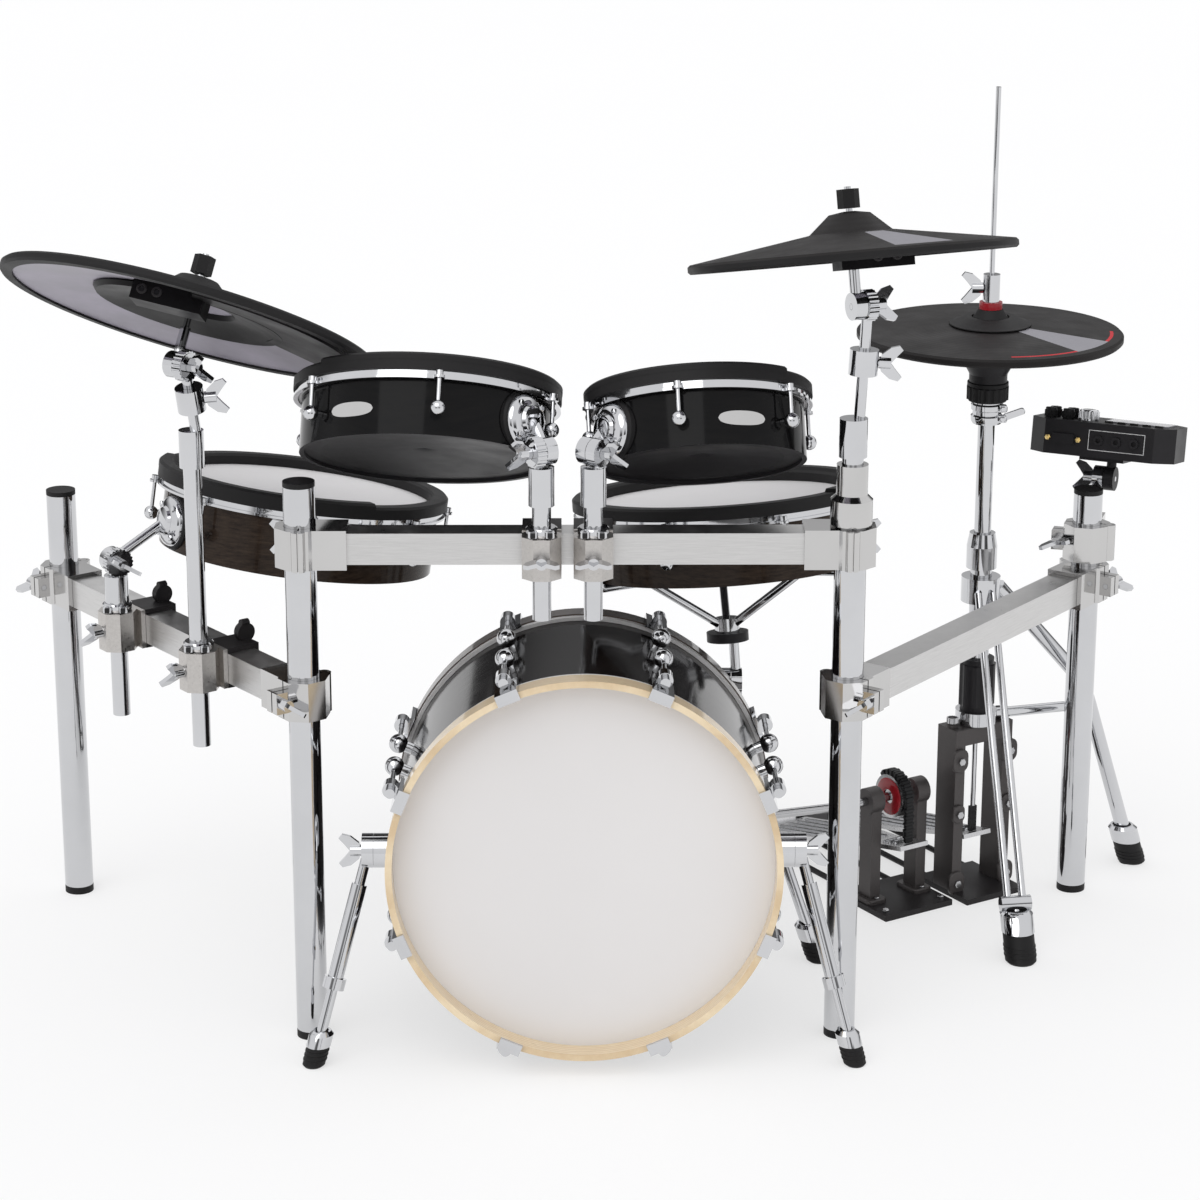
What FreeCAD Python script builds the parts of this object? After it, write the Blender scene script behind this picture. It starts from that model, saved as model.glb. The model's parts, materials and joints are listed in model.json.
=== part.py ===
import FreeCAD, Part
import Sketcher
import math
import os
from types import SimpleNamespace

from FreeCAD import Placement, Rotation, Vector

# Electronic drum kit on a four-post rack. The drummer sits on the +Y side, the audience on the -Y side.
# Lengths are in millimetres. X is zero midway between the front posts and Y is zero at those posts;
# the finished kit is then moved so that its origin is under its middle, on the floor.

SIZES = {
    # Gaps between a piece and its seat
    "seat_gap": 0.3,
    # Rack posts and rails
    "post_diameter": 38.1,
    "post_wall": 2.0,
    "front_post_spacing": 648.0,
    "back_post_spacing": 1354.0,
    "rack_depth": 472.0,
    "front_post_height": 699.0,
    "back_post_height": 560.0,
    "crash_post_height": 677.0,
    "foot_height": 10.0,
    "cap_height": 6.0,
    "plug_depth": 20.0,
    "rail_side": 38.0,
    "rail_wall": 3.0,
    "front_rail_height": 627.0,
    "side_rail_height": 440.0,
    # Hinged rail clamps
    "clamp_across": 58.0,
    "clamp_height": 48.0,
    "clamp_slit": 2.0,
    "clamp_wall": 6.0,
    "socket_length": 56.0,
    "ear_reach": 16.0,
    "ear_width": 11.0,
    "ear_height": 26.0,
    "hinge_pin": 8.0,
    "hinge_barrel": 17.0,
    # Wing screws
    "wing_span": 42.0,
    "wing_thickness": 5.0,
    "wing_hub": 14.0,
    "wing_hub_height": 14.0,
    "wing_shank": 7.0,
    "wing_lap": 1.0,
    # Arm clamps and their tubes
    "arm_tube": 22.2,
    "arm_offset": 46.0,
    "arm_clamp_across": 46.0,
    "arm_clamp_height": 50.0,
    "bracket_width": 46.0,
    "bracket_wall": 6.0,
    "bracket_tab": 24.0,
    "bracket_tab_width": 10.0,
    "sleeve_wall": 4.0,
    "sleeve_length": 46.0,
    "knuckle_diameter": 32.0,
    "knuckle_width": 14.0,
    "knuckle_neck": 13.0,
    # Drum pads
    "rim_overhang": 11.0,
    "rim_reach": 22.0,
    "rim_height": 16.0,
    "shell_wall": 6.0,
    "head_thickness": 1.2,
    "flesh_width": 4.5,
    "flesh_height": 8.0,
    "hoop_wall": 2.3,
    "hoop_rise": 12.0,
    "hoop_drop": 10.0,
    "hoop_flange": 3.0,
    "ear_diameter": 13.0,
    "tension_rod": 5.0,
    "rod_head": 9.0,
    "lug_ball": 18.0,
    "lug_stem": 10.0,
    "base_thickness": 4.0,
    "base_dish": 10.0,
    "trigger_cone": 40.0,
    "trigger_tip": 16.0,
    "left_tom_diameter": 319.0,
    "left_tom_depth": 74.0,
    "right_tom_diameter": 270.0,
    "right_tom_depth": 74.0,
    "floor_tom_diameter": 375.0,
    "floor_tom_depth": 84.0,
    "snare_diameter": 375.0,
    "snare_depth": 84.0,
    "mount_block": 11.0,
    "mount_width": 30.0,
    # Where the drums stand, how they lean back and roll to the right, and their tubes
    "left_tom_x": -175.0,
    "left_tom_y": 93.0,
    "left_tom_height": 789.0,
    "left_tom_lean": 26.0,
    "left_tom_roll": 3.0,
    "left_tom_arm_place": 363.5,
    "left_tom_tube_low": 550.0,
    "left_tom_knuckle": 752.0,
    "left_tom_first_lug": -84.0,
    "right_tom_x": 145.0,
    "right_tom_y": 66.0,
    "right_tom_height": 789.0,
    "right_tom_lean": 26.0,
    "right_tom_roll": -3.0,
    "right_tom_arm_place": 303.3,
    "right_tom_tube_low": 550.0,
    "right_tom_knuckle": 752.0,
    "right_tom_first_lug": -101.0,
    "floor_tom_x": -351.0,
    "floor_tom_y": 400.0,
    "floor_tom_height": 592.0,
    "floor_tom_lean": 6.6,
    "floor_tom_roll": 8.0,
    "floor_tom_arm_place": 365.0,
    "floor_tom_tube_low": 326.0,
    "floor_tom_knuckle": 529.0,
    "floor_tom_first_lug": -127.0,
    "snare_x": 183.0,
    "snare_y": 340.0,
    "snare_height": 595.0,
    "snare_lean": 8.0,
    "snare_roll": -4.0,
    "snare_tilter_drop": 150.0,
    # Bass drum
    "bass_diameter": 457.0,
    "bass_depth": 285.0,
    "bass_wall": 7.0,
    "bass_hoop_thickness": 8.0,
    "bass_hoop_width": 30.0,
    "bass_hoop_lap": 1.5,
    "claw_width": 28.0,
    "claw_thickness": 5.0,
    "claw_tail": 16.0,
    "claw_hook": 9.0,
    "claw_boss": 22.0,
    "bass_rod": 6.5,
    "bass_rod_head": 12.0,
    "bass_rod_stand": 7.0,
    "bass_lug": 24.0,
    "bass_lug_stem": 14.0,
    "bass_lug_place": 48.0,
    "bass_x": 10.0,
    "bass_y": 59.0,
    "bass_tilt": 3.2,
    "bass_lift": 2.8,
    "spur_bracket": 24.0,
    "spur_collar": 27.0,
    "spur_place": 84.0,
    "spur_disc": 42.0,
    "spur_disc_width": 14.0,
    "spur_tube": 19.0,
    "spur_rod": 12.7,
    "spur_tube_length": 130.0,
    "spur_tip": 24.0,
    "spur_tip_length": 34.0,
    "spur_reach": 66.0,
    "spur_forward": 66.0,
    # Cymbal pads
    "ride_diameter": 457.0,
    "crash_diameter": 381.0,
    "cymbal_rod": 8.0,
    "cymbal_stem": 92.0,
    "felt_ball": 26.0,
    "bell_diameter": 96.0,
    "bell_top": 48.0,
    "bell_height": 24.0,
    "pad_edge": 11.0,
    "pad_bevel": 2.75,
    "pad_bow": 22.0,
    "pad_skin": 7.0,
    "nut_across": 26.0,
    "nut_height": 22.0,
    "jack_box_width": 84.0,
    "jack_box_depth": 46.0,
    "jack_box_height": 30.7,
    "jack_box_drop": 10.0,
    "cymbal_play": 3.0,
    "pad_crown": 4.0,
    "pad_lip": 16.0,
    "nut_lift": 3.5,
    "coupler": 34.0,
    "coupler_length": 30.0,
    "crash_tube": 25.4,
    "crash_tube_low": 600.0,
    "crash_tube_top": 780.0,
    "crash_x": 316.0,
    "crash_y": 16.0,
    "crash_height": 1003.0,
    "crash_lean": 12.0,
    "crash_roll": -5.0,
    "crash_box_turn": -80.0,
    "ride_arm_place": 165.0,
    "ride_tube_low": 341.0,
    "ride_tube_top": 740.0,
    "ride_x": -450.0,
    "ride_y": 125.0,
    "ride_height": 905.0,
    "ride_lean": 23.0,
    "ride_roll": 16.0,
    "ride_box_turn": -100.0,
    # Hi-hat
    "hihat_diameter": 346.0,
    "hihat_x": 540.0,
    "hihat_y": 480.0,
    "hihat_height": 766.0,
    "hihat_crown": 8.0,
    "hihat_bell_top": 64.0,
    "hihat_cone": 48.0,
    "hihat_cone_top": 32.0,
    "hihat_cone_height": 13.0,
    "lock_nut": 30.0,
    "lock_nut_height": 9.0,
    "clutch": 22.0,
    "clutch_height": 36.0,
    "hihat_rod": 6.8,
    "hihat_rod_low": 118.0,
    "hihat_rod_top": 1094.0,
    "hihat_tube": 28.6,
    "hihat_upper_tube": 22.2,
    "hihat_tube_wall": 3.0,
    "hihat_frame_top": 238.0,
    "hihat_frame_width": 96.0,
    "hihat_upright": 16.0,
    "hihat_upright_depth": 40.0,
    "hihat_bridge": 23.0,
    "spring_sleeve": 44.0,
    "spring_sleeve_length": 92.0,
    "hihat_tube_joint": 480.0,
    "leg_collar_height": 410.0,
    "leg_collar_tall": 34.0,
    "leg_collar": 52.0,
    "hihat_leg_rod": 10.0,
    "hihat_foot": 34.0,
    "hihat_foot_length": 48.0,
    "front_leg_x": 576.0,
    "front_leg_y": 222.0,
    "side_leg": 20.0,
    "side_leg_bend": 160.0,
    "side_elbow_x": 692.0,
    "side_elbow_y": 536.0,
    "side_elbow_height": 275.0,
    "side_leg_x": 775.0,
    "side_leg_y": 569.0,
    "strut": 14.0,
    "strut_share": 0.13,
    "strut_height": 239.0,
    "strut_collar_tall": 18.0,
    "memory_clamp": 38.0,
    "memory_clamp_height": 30.0,
    "controller_diameter": 74.0,
    "controller_neck": 50.0,
    "controller_base": 684.0,
    "controller_seat": 8.0,
    "controller_rise": 36.0,
    "controller_top": 748.0,
    # Pedals
    "pedal_yaw": 32.0,
    "slave_x": 461.0,
    "slave_y": 381.0,
    "main_x": -50.0,
    "main_y": 234.0,
    "toe_setback": 15.0,
    "hihat_heel_setback": 270.0,
    "hihat_toe_setback": -12.0,
    "hihat_toe_height": 80.0,
    "hinge_ear": 8.0,
    "hinge_tongue": 12.0,
    "hinge_barrel_length": 60.0,
    "beater_hub": 24.0,
    "beater_hub_width": 14.0,
    "main_beater_place": 18.0,
    "left_beater_place": 60.0,
    "left_post_place": 84.0,
    "left_axle_length": 62.0,
    "hoop_clamp_width": 40.0,
    "hoop_clamp_reach": 34.0,
    "hoop_clamp_height": 26.0,
    "pedal_base_width": 112.0,
    "pedal_base_depth": 110.0,
    "pedal_base_height": 8.0,
    "pedal_post_spacing": 76.0,
    "pedal_post_width": 16.0,
    "pedal_post_depth": 26.0,
    "axle_height": 150.0,
    "axle_setback": 62.0,
    "axle_diameter": 12.0,
    "axle_overhang": 0.9,
    "bearing_diameter": 36.0,
    "bearing_width": 20.0,
    "cam_diameter": 60.0,
    "cam_width": 18.0,
    "chain_width": 11.0,
    "chain_thickness": 5.0,
    "chain_pitch": 9.0,
    "heel_setback": 330.0,
    "heel_height": 22.0,
    "heel_depth": 74.0,
    "toe_height": 92.0,
    "footboard_width": 84.0,
    "footboard_toe": 46.0,
    "footboard_thickness": 6.0,
    "hinge_rod": 6.0,
    "hinge_tube": 14.0,
    "tie_rod": 8.0,
    "beater_length": 165.0,
    "beater_shaft": 7.0,
    "beater_head": 40.0,
    "beater_head_length": 36.0,
    "beater_lean": 22.0,
    "joint_ball": 18.0,
    "joint_stand": 27.0,
    "joint_cup": 25.0,
    "cup_setback": 1.8,
    "cup_reach": 17.5,
    "shaft_diameter": 12.0,
    # Snare stand
    "stand_foot": 26.0,
    "stand_foot_length": 40.0,
    "stand_leg": 14.0,
    "stand_leg_spread": 140.0,
    "stand_leg_turn": 84.0,
    "stand_hub": 48.0,
    "stand_hub_tall": 26.0,
    "stand_hub_height": 262.0,
    "stand_tube_low": 190.0,
    "basket_arm": 11.0,
    "basket_bend": 6.0,
    "basket_drop": 98.0,
    "basket_hub": 32.0,
    "basket_hub_height": 30.0,
    "basket_grip": 22.0,
    "basket_nut": 54.0,
    "basket_nut_height": 12.0,
    # Module
    "module_aside": 34.0,
    "module_behind": 71.0,
    "module_low": 592.0,
    "module_yaw": -24.0,
    "module_lean": 10.0,
    "module_clamp_height": 495.0,
    "module_clamp_turn": 73.0,
    "module_stand": 30.0,
    "module_width": 196.0,
    "module_depth": 106.0,
    "module_height": 46.0,
    "module_chamfer": 24.0,
    "module_knob_pitch": 24.0,
    "module_dial_aside": 4.0,
    "jack": 13.0,
    "jack_bore": 6.5,
    "jack_height": 4.0,
    "jack_pitch": 24.0,
    "connector": 30.0,
    "connector_x": -48.0,
    "connector_rise": 15.0,
    "mount_plate": 60.0,
    "module_knob": 15.0,
    "module_knob_height": 13.0,
    "module_dial": 26.0,
    "module_dial_height": 14.0,
    "module_rod": 12.7,
    "rod_holder": 31.75,
}

doc = FreeCAD.newDocument("drum_kit")
sheet = doc.addObject("Spreadsheet::Sheet", "Sizes")
for row, (alias, value) in enumerate(SIZES.items(), 1):
    sheet.set(f"A{row}", str(value))
    sheet.setAlias(f"A{row}", alias)
doc.recompute()


class Size:
    """A length from the sheet: the value that it has now and the formula that gives it."""

    def __init__(self, value, formula):
        self.value = value
        self.formula = formula

    def __float__(self):
        return self.value

    def joined(self, sign, other, value):
        other_formula = other.formula if isinstance(other, Size) else repr(other)
        return Size(value, f"({self.formula} {sign} {other_formula})")

    def __add__(self, other):
        return self.joined("+", other, self.value + float(other))

    def __sub__(self, other):
        return self.joined("-", other, self.value - float(other))

    def __mul__(self, other):
        return self.joined("*", other, self.value * float(other))

    def __truediv__(self, other):
        return self.joined("/", other, self.value / float(other))

    def __neg__(self):
        return Size(-self.value, f"(0 - {self.formula})")


size = SimpleNamespace(**{name: Size(float(sheet.get(name)), f"Sizes.{name}") for name in SIZES})
GAP = size.seat_gap
NONE = GAP * 0
X_AXIS, Y_AXIS, Z_AXIS = Vector(1, 0, 0), Vector(0, 1, 0), Vector(0, 0, 1)
HERE = Placement()
nodes = {}


def at(x=0, y=0, z=0):
    return Placement(Vector(x, y, z), Rotation())


def turned_by(axis, degrees):
    return Placement(Vector(), Rotation(axis, float(degrees)))


def aimed(start, direction):
    """A place at start whose Z axis points along direction."""
    return Placement(start, Rotation(Z_AXIS, direction))


def framed(origin, x_way, z_way):
    """A place at origin whose Z axis is z_way and whose X axis lies as near x_way as it can."""
    return Placement(origin, Rotation(x_way, Vector(), z_way, "ZXY"))


def bind(item, **sizes):
    for prop, value in sizes.items():
        if isinstance(value, Size):
            item.setExpression(prop, value.formula)
        else:
            setattr(item, prop, value)
    return item


def solid(kind, place, **sizes):
    item = doc.addObject(f"Part::{kind}", kind.lower())
    item.Placement = place
    return bind(item, **sizes)


def cylinder(diameter, height, place=HERE):
    return solid("Cylinder", place, Radius=diameter / 2, Height=height)


def sphere(diameter, place=HERE):
    return solid("Sphere", place, Radius=diameter / 2)


def block(width, depth, height, place=HERE):
    """A box centred on X and Y that stands on Z = 0 of its place."""
    corner = at(-float(width) / 2, -float(depth) / 2)
    return solid("Box", place * corner, Length=width, Width=depth, Height=height)


def rod(start, end, diameter):
    span = end - start
    return solid("Cylinder", aimed(start, span), Radius=diameter / 2, Height=span.Length)


def fuse(*members):
    item = doc.addObject("Part::MultiFuse", "joined")
    item.Shapes = list(members)
    item.Refine = False
    return item


def cut(base, *tools):
    item = doc.addObject("Part::Cut", "cut")
    item.Base = base
    item.Tool = tools[0] if len(tools) == 1 else fuse(*tools)
    return item


def ring(outer, inner, height, place=HERE):
    return cut(cylinder(outer, height, place), cylinder(inner, height, place))


def outline_body(outline, plane_role):
    """A body whose sketch is a closed outline, each corner set out from the sheet."""
    body = doc.addObject("PartDesign::Body", "body")
    sketch = body.newObject("Sketcher::SketchObject", "outline")
    plane = next(feature for feature in body.Origin.OriginFeatures if feature.Role == plane_role)
    sketch.AttachmentSupport = [(plane, "")]
    sketch.MapMode = "FlatFace"
    corners = [Vector(float(x), float(y), 0) for x, y in outline]
    count = len(corners)
    for index, corner in enumerate(corners):
        sketch.addGeometry(Part.LineSegment(corner, corners[(index + 1) % count]))
    for index in range(count):
        sketch.addConstraint(Sketcher.Constraint("Coincident", index, 2, (index + 1) % count, 1))
    for index, corner in enumerate(outline):
        for kind, value in zip(("DistanceX", "DistanceY"), corner):
            row = sketch.addConstraint(Sketcher.Constraint(kind, -1, 1, index, 1, float(value)))
            if isinstance(value, Size):
                sketch.setExpression(f"Constraints[{row}]", value.formula)
    return body, sketch


def lathe(profile, place=HERE):
    """A turned piece: a profile of radius and height, swept round the Z axis of its place."""
    body, sketch = outline_body(profile, "XZ_Plane")
    sweep = body.newObject("PartDesign::Revolution", "sweep")
    sweep.Profile = sketch
    sweep.ReferenceAxis = (sketch, ["V_Axis"])
    sweep.Angle = 360
    body.Placement = place
    return body


def plate(outline, thickness, place=HERE):
    """A flat piece: an outline in X and Y, raised by its thickness."""
    body, sketch = outline_body(outline, "XY_Plane")
    pad = body.newObject("PartDesign::Pad", "thickness")
    pad.Profile = sketch
    bind(pad, Length=thickness)
    body.Placement = place
    return body


def bent_rod(points, bend, diameter):
    """A round rod along straight runs joined by arcs of one bend radius."""
    edges = []
    start = points[0]
    for before, corner, after in zip(points, points[1:], points[2:]):
        inward = (before - corner).normalize()
        outward = (after - corner).normalize()
        half = inward.getAngle(outward) / 2
        first = corner + inward * (bend / math.tan(half))
        last = corner + outward * (bend / math.tan(half))
        middle = corner + (inward + outward).normalize() * (bend / math.sin(half) - bend)
        edges.append(Part.LineSegment(start, first).toShape())
        edges.append(Part.Arc(first, middle, last).toShape())
        start = last
    edges.append(Part.LineSegment(start, points[-1]).toShape())
    path = doc.addObject("Part::Feature", "rod_path")
    path.Shape = Part.Wire(edges)
    section = solid("Circle", aimed(points[0], points[1] - points[0]), Radius=diameter / 2)
    item = doc.addObject("Part::Sweep", "bent_rod")
    item.Sections = [section]
    item.Spine = (path, [f"Edge{number}" for number in range(1, len(edges) + 1)])
    item.Solid = True
    return item


def node(label, members, place=HERE):
    """One named sub-part: a single piece, or a group of separate pieces."""
    item = doc.addObject("Part::Compound", label)
    item.Links = members
    item.Label = label
    item.Placement = place
    nodes[label] = item


def around(count, start=0.0):
    return [start + index * 360.0 / count for index in range(count)]


# Wing outline as shares of the span: across the screw, and outward along it
WING_SHARES = [(0.0, 0.0), (0.24, 0.08), (0.44, 0.32), (0.5, 0.56), (0.38, 0.66), (0.2, 0.5), (0.0, 0.34)]


def wing_screw(tip, way, reach):
    """A wing screw whose shank runs from its tip along way and whose wings start at its reach."""
    span = size.wing_span
    left = [(span * -x, span * y) for x, y in WING_SHARES[-2:0:-1]]
    outline = [(span * x, span * y) for x, y in WING_SHARES] + left
    place = aimed(tip, way)
    upright = at(0, float(size.wing_thickness) / 2, float(reach)) * turned_by(X_AXIS, 90)
    shank = solid("Cylinder", place, Radius=size.wing_shank / 2, Height=float(reach + size.wing_lap))
    hub = cylinder(size.wing_hub, size.wing_hub_height, place * at(0, 0, float(reach)))
    return fuse(shank, hub, plate(outline, size.wing_thickness, place * upright))


def plug(diameter, bore, flange, place):
    """An end plug: a flange as wide as its tube and a spigot inside it."""
    spigot = bore / 2 - GAP
    top = flange + size.plug_depth
    profile = [(NONE, NONE), (diameter / 2, NONE), (diameter / 2, flange), (spigot, flange), (spigot, top),
               (NONE, top)]
    return lathe(profile, place)


# Rack
post_bore = size.post_diameter - size.post_wall * 2
front_x, back_x = float(size.front_post_spacing) / 2, float(size.back_post_spacing) / 2
front_left, front_right = Vector(-front_x, 0, 0), Vector(front_x, 0, 0)
back_left, back_right = (Vector(side * back_x, float(size.rack_depth), 0) for side in (-1, 1))
POSTS = [
    (front_left, size.front_post_height),
    (back_left, size.back_post_height),
    (back_right, size.back_post_height),
    (front_right, size.crash_post_height),
]
flipped = turned_by(X_AXIS, 180)
posts, feet, wings = [], [], []
for foot, top in POSTS:
    base = at(foot.x, foot.y, float(size.foot_height))
    posts.append(ring(size.post_diameter, post_bore, top - size.foot_height, base))
    feet.append(plug(size.post_diameter, post_bore, size.foot_height, at(foot.x, foot.y)))
for foot, top in POSTS[:3]:
    cap_place = at(foot.x, foot.y, float(top + size.cap_height)) * flipped
    feet.append(plug(size.post_diameter, post_bore, size.cap_height, cap_place))
node("rack_posts", posts)

rail_end = size.post_diameter / 2 + size.clamp_wall + GAP


def rail(start, end, height):
    """A square tube between two posts, its ends inside their clamps."""
    way = (end - start).normalize()
    length = (end - start).Length - 2 * float(rail_end)
    place = framed(start + way * float(rail_end) + Z_AXIS * float(height), Z_AXIS, way)
    centred = at(-float(size.rail_side) / 2, -float(size.rail_side) / 2)
    hollow = size.rail_side - size.rail_wall * 2
    inset = at(-float(hollow) / 2, -float(hollow) / 2)
    outer = solid("Box", place * centred, Length=size.rail_side, Width=size.rail_side, Height=length)
    inner = solid("Box", place * inset, Length=hollow, Width=hollow, Height=length)
    return cut(outer, inner)


RAILS = [
    (front_left, front_right, size.front_rail_height),
    (front_left, back_left, size.side_rail_height),
    (front_right, back_right, size.side_rail_height),
]
node("rack_rails", [rail(*ends) for ends in RAILS])


OCTAGON = 8


def octagon(across, height, place):
    corner = across / 2 / math.cos(math.pi / OCTAGON)
    flat_on = turned_by(Z_AXIS, 180 / OCTAGON)
    return solid("Prism", place * flat_on, Polygon=OCTAGON, Circumradius=corner, Height=height)


def post_clamp(post, way, height, socket, mirrored=1):
    """A hinged clamp on a post: body, jaw, hinge pin and wing screw. Its socket takes a rail or a rod."""
    tall = size.clamp_height
    place = framed(post + Z_AXIS * (float(height) - float(tall) / 2), way, Z_AXIS)
    side = float(size.clamp_across) / 2 * mirrored
    ear_middle = side + mirrored * float(size.ear_reach) / 2
    ear_rise = float(tall - size.ear_height) / 2
    barrel_place = place * at(0, -side)
    ear = block(size.ear_width * 2, size.ear_reach * 2, size.ear_height, place * at(0, side, ear_rise))
    barrel = cylinder(size.hinge_barrel, tall, barrel_place)
    blank = fuse(octagon(size.clamp_across, tall, place), ear, barrel)
    pin = cylinder(size.hinge_pin, tall, barrel_place)
    pin_bore = cylinder(size.hinge_pin + GAP * 2, tall, barrel_place)
    bore = cylinder(size.post_diameter + GAP * 2, tall, place)
    across_screw = place * at(0, ear_middle, float(tall) / 2)
    screw_bore = cylinder(size.wing_shank + GAP * 2, size.socket_length * 2,
                          across_screw * at(-float(size.socket_length)) * turned_by(Y_AXIS, 90))
    bores = fuse(bore, pin_bore, screw_bore)
    keep = size.clamp_across * 2
    half_slit = float(size.clamp_slit) / 2
    far_half = block(keep, keep, tall, place * at(-float(keep) / 2 + half_slit))
    near_half = block(keep, keep, tall, place * at(float(keep) / 2 - half_slit))
    jaw = cut(blank, near_half, bores)
    body = blank
    cutters = [far_half, bores]
    if socket == "rod":
        holder_place = place * at(float(size.clamp_across / 2 + size.module_rod))
        body = fuse(blank, block(size.rod_holder, size.rod_holder, tall, holder_place))
        cutters.append(cylinder(size.module_rod + GAP * 2, tall, holder_place))
    else:
        pocket_start = float(size.post_diameter) / 2 + float(size.clamp_wall)
        pocket_side = size.rail_side + GAP * 2
        pocket_rise = float(tall - pocket_side) / 2
        pocket = block(size.socket_length, pocket_side, pocket_side,
                       place * at(pocket_start + float(size.socket_length) / 2, 0, pocket_rise))
        sleeve = block(size.socket_length, pocket_side + size.clamp_wall * 2, tall,
                       place * at(float(size.socket_length) / 2))
        body = fuse(blank, sleeve)
        cutters.append(pocket)
    outward = place.Rotation.multVec(X_AXIS) * -1
    tip = (across_screw * at(float(size.ear_width))).Base
    wings.append(wing_screw(tip, outward, size.ear_width * 2 + GAP))
    return [cut(body, *cutters), jaw, pin]


CLAMPS = [
    (front_left, front_right, size.front_rail_height, 1),
    (front_right, front_left, size.front_rail_height, -1),
    (front_left, back_left, size.side_rail_height, 1),
    (back_left, front_left, size.side_rail_height, -1),
    (front_right, back_right, size.side_rail_height, -1),
    (back_right, front_right, size.side_rail_height, 1),
]
clamps = []
for start, end, height, mirrored in CLAMPS:
    clamps += post_clamp(start, (end - start).normalize(), height, "rail", mirrored)

crash_collar_profile = [
    (size.post_diameter / 2 + GAP, -size.clamp_height / 2),
    (size.post_diameter / 2 + size.clamp_wall, -size.clamp_height / 2),
    (size.post_diameter / 2 + size.clamp_wall, size.clamp_wall),
    (size.crash_tube / 2 + size.clamp_wall, size.clamp_wall * 2),
    (size.crash_tube / 2 + size.clamp_wall, size.clamp_height),
    (size.crash_tube / 2 + GAP, size.clamp_height),
    (size.crash_tube / 2 + GAP, GAP),
    (size.post_diameter / 2 + GAP, GAP),
]
clamps.append(lathe(crash_collar_profile, at(front_right.x, front_right.y, float(size.crash_post_height))))

SIDEWAYS = Placement(Vector(), Rotation(Vector(1, 1, 1), 120))
arm_blocks, arm_brackets = [], []


def arm_clamp(start, end, distance, height):
    """A clamp on a rail for an upright tube: hook bracket, block and wing screw. Gives the tube's foot."""
    way = (end - start).normalize()
    centre = start + way * float(distance) + Z_AXIS * float(height)
    place = framed(centre, way, Z_AXIS)
    inner = size.rail_side / 2 + GAP
    outer = inner + size.bracket_wall
    hook = [(inner, inner), (-inner, inner), (-inner, -inner), (inner, -inner),
            (inner, -outer), (-outer, -outer), (-outer, outer), (inner, outer)]
    middle = at(-float(size.bracket_width) / 2)
    tab_rise = outer + (size.bracket_tab - size.bracket_wall) / 2
    tab_place = at(-float(size.bracket_tab_width) / 2, -float(inner), float(tab_rise)) * turned_by(Y_AXIS, 90)
    arm_brackets.append(fuse(plate(hook, size.bracket_width, place * middle * SIDEWAYS),
                             cylinder(size.bracket_tab, size.bracket_tab_width, place * tab_place)))
    tall = size.arm_clamp_height
    low = -float(tall) / 2
    tube_place = place * at(0, float(size.arm_offset), low)
    face = block(size.bracket_width, size.bracket_wall, tall,
                 place * at(0, float(inner + size.bracket_wall / 2), low))
    outward = place.Rotation.multVec(Y_AXIS)
    tip_reach = float(size.arm_tube) / 2 + 2 * float(GAP)
    tip = centre + outward * (float(size.arm_offset) + tip_reach)
    axis_point = centre + outward * float(size.arm_offset)
    hole = rod(axis_point, axis_point + outward * float(size.arm_clamp_across), size.wing_shank + GAP * 2)
    arm_blocks.append(cut(fuse(face, octagon(size.arm_clamp_across, tall, tube_place)),
                          cylinder(size.arm_tube + GAP * 2, tall, tube_place), hole))
    wings.append(wing_screw(tip, outward, size.arm_clamp_across / 2 - tip_reach + GAP))
    return Vector(axis_point.x, axis_point.y, 0)


ARM_FEET = {
    "left_tom": arm_clamp(front_right, front_left, size.left_tom_arm_place, size.front_rail_height),
    "right_tom": arm_clamp(front_right, front_left, size.right_tom_arm_place, size.front_rail_height),
    "floor_tom": arm_clamp(front_left, back_left, size.floor_tom_arm_place, size.side_rail_height),
    "ride": arm_clamp(front_left, back_left, size.ride_arm_place, size.side_rail_height),
}
node("arm_clamps", arm_blocks)
node("arm_brackets", arm_brackets)


def half_offset():
    return float(GAP + size.knuckle_width / 2)


def knuckle(pivot, axis, neck_start):
    """Half of a tilter, on the side that axis points to: a disc on a neck, bored for the wing bolt."""
    near = pivot + axis * float(GAP)
    middle = pivot + axis * half_offset()
    disc = cylinder(size.knuckle_diameter, size.knuckle_width, aimed(near, axis))
    neck = rod(neck_start + axis * half_offset(), middle, size.knuckle_neck)
    bore = cylinder(size.wing_shank + GAP * 2, size.knuckle_width * 2, aimed(pivot, axis))
    return disc, neck, bore


def tilter_bolt(pivot, axis):
    """The wing bolt through both halves of a tilter, its wing on the far side from axis."""
    reach = size.knuckle_width + GAP
    return wing_screw(pivot + axis * float(reach), axis * -1, reach * 2 + GAP)


def drum_frame(name):
    """The place of a drum: its Z axis leaves the head, and Z = 0 is the lower edge of its shell."""
    centre = Vector(*(getattr(size, f"{name}_{way}") for way in ("x", "y", "height")))
    roll = Rotation(Y_AXIS, float(getattr(size, f"{name}_roll")))
    lean = Rotation(X_AXIS, -float(getattr(size, f"{name}_lean")))
    spin = roll.multiply(lean)
    rise = float(getattr(size, f"{name}_depth") + size.rim_height / 2)
    return Placement(centre - spin.multVec(Z_AXIS) * rise, spin)


def shell_radius_of(name):
    return getattr(size, f"{name}_diameter") / 2 - size.rim_overhang


# Shares of a shell's depth where its lugs sit, and of a rod head's width that is its height
LUG_RISE = 0.4
ROD_HEAD_SHARE = 0.6


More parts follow.
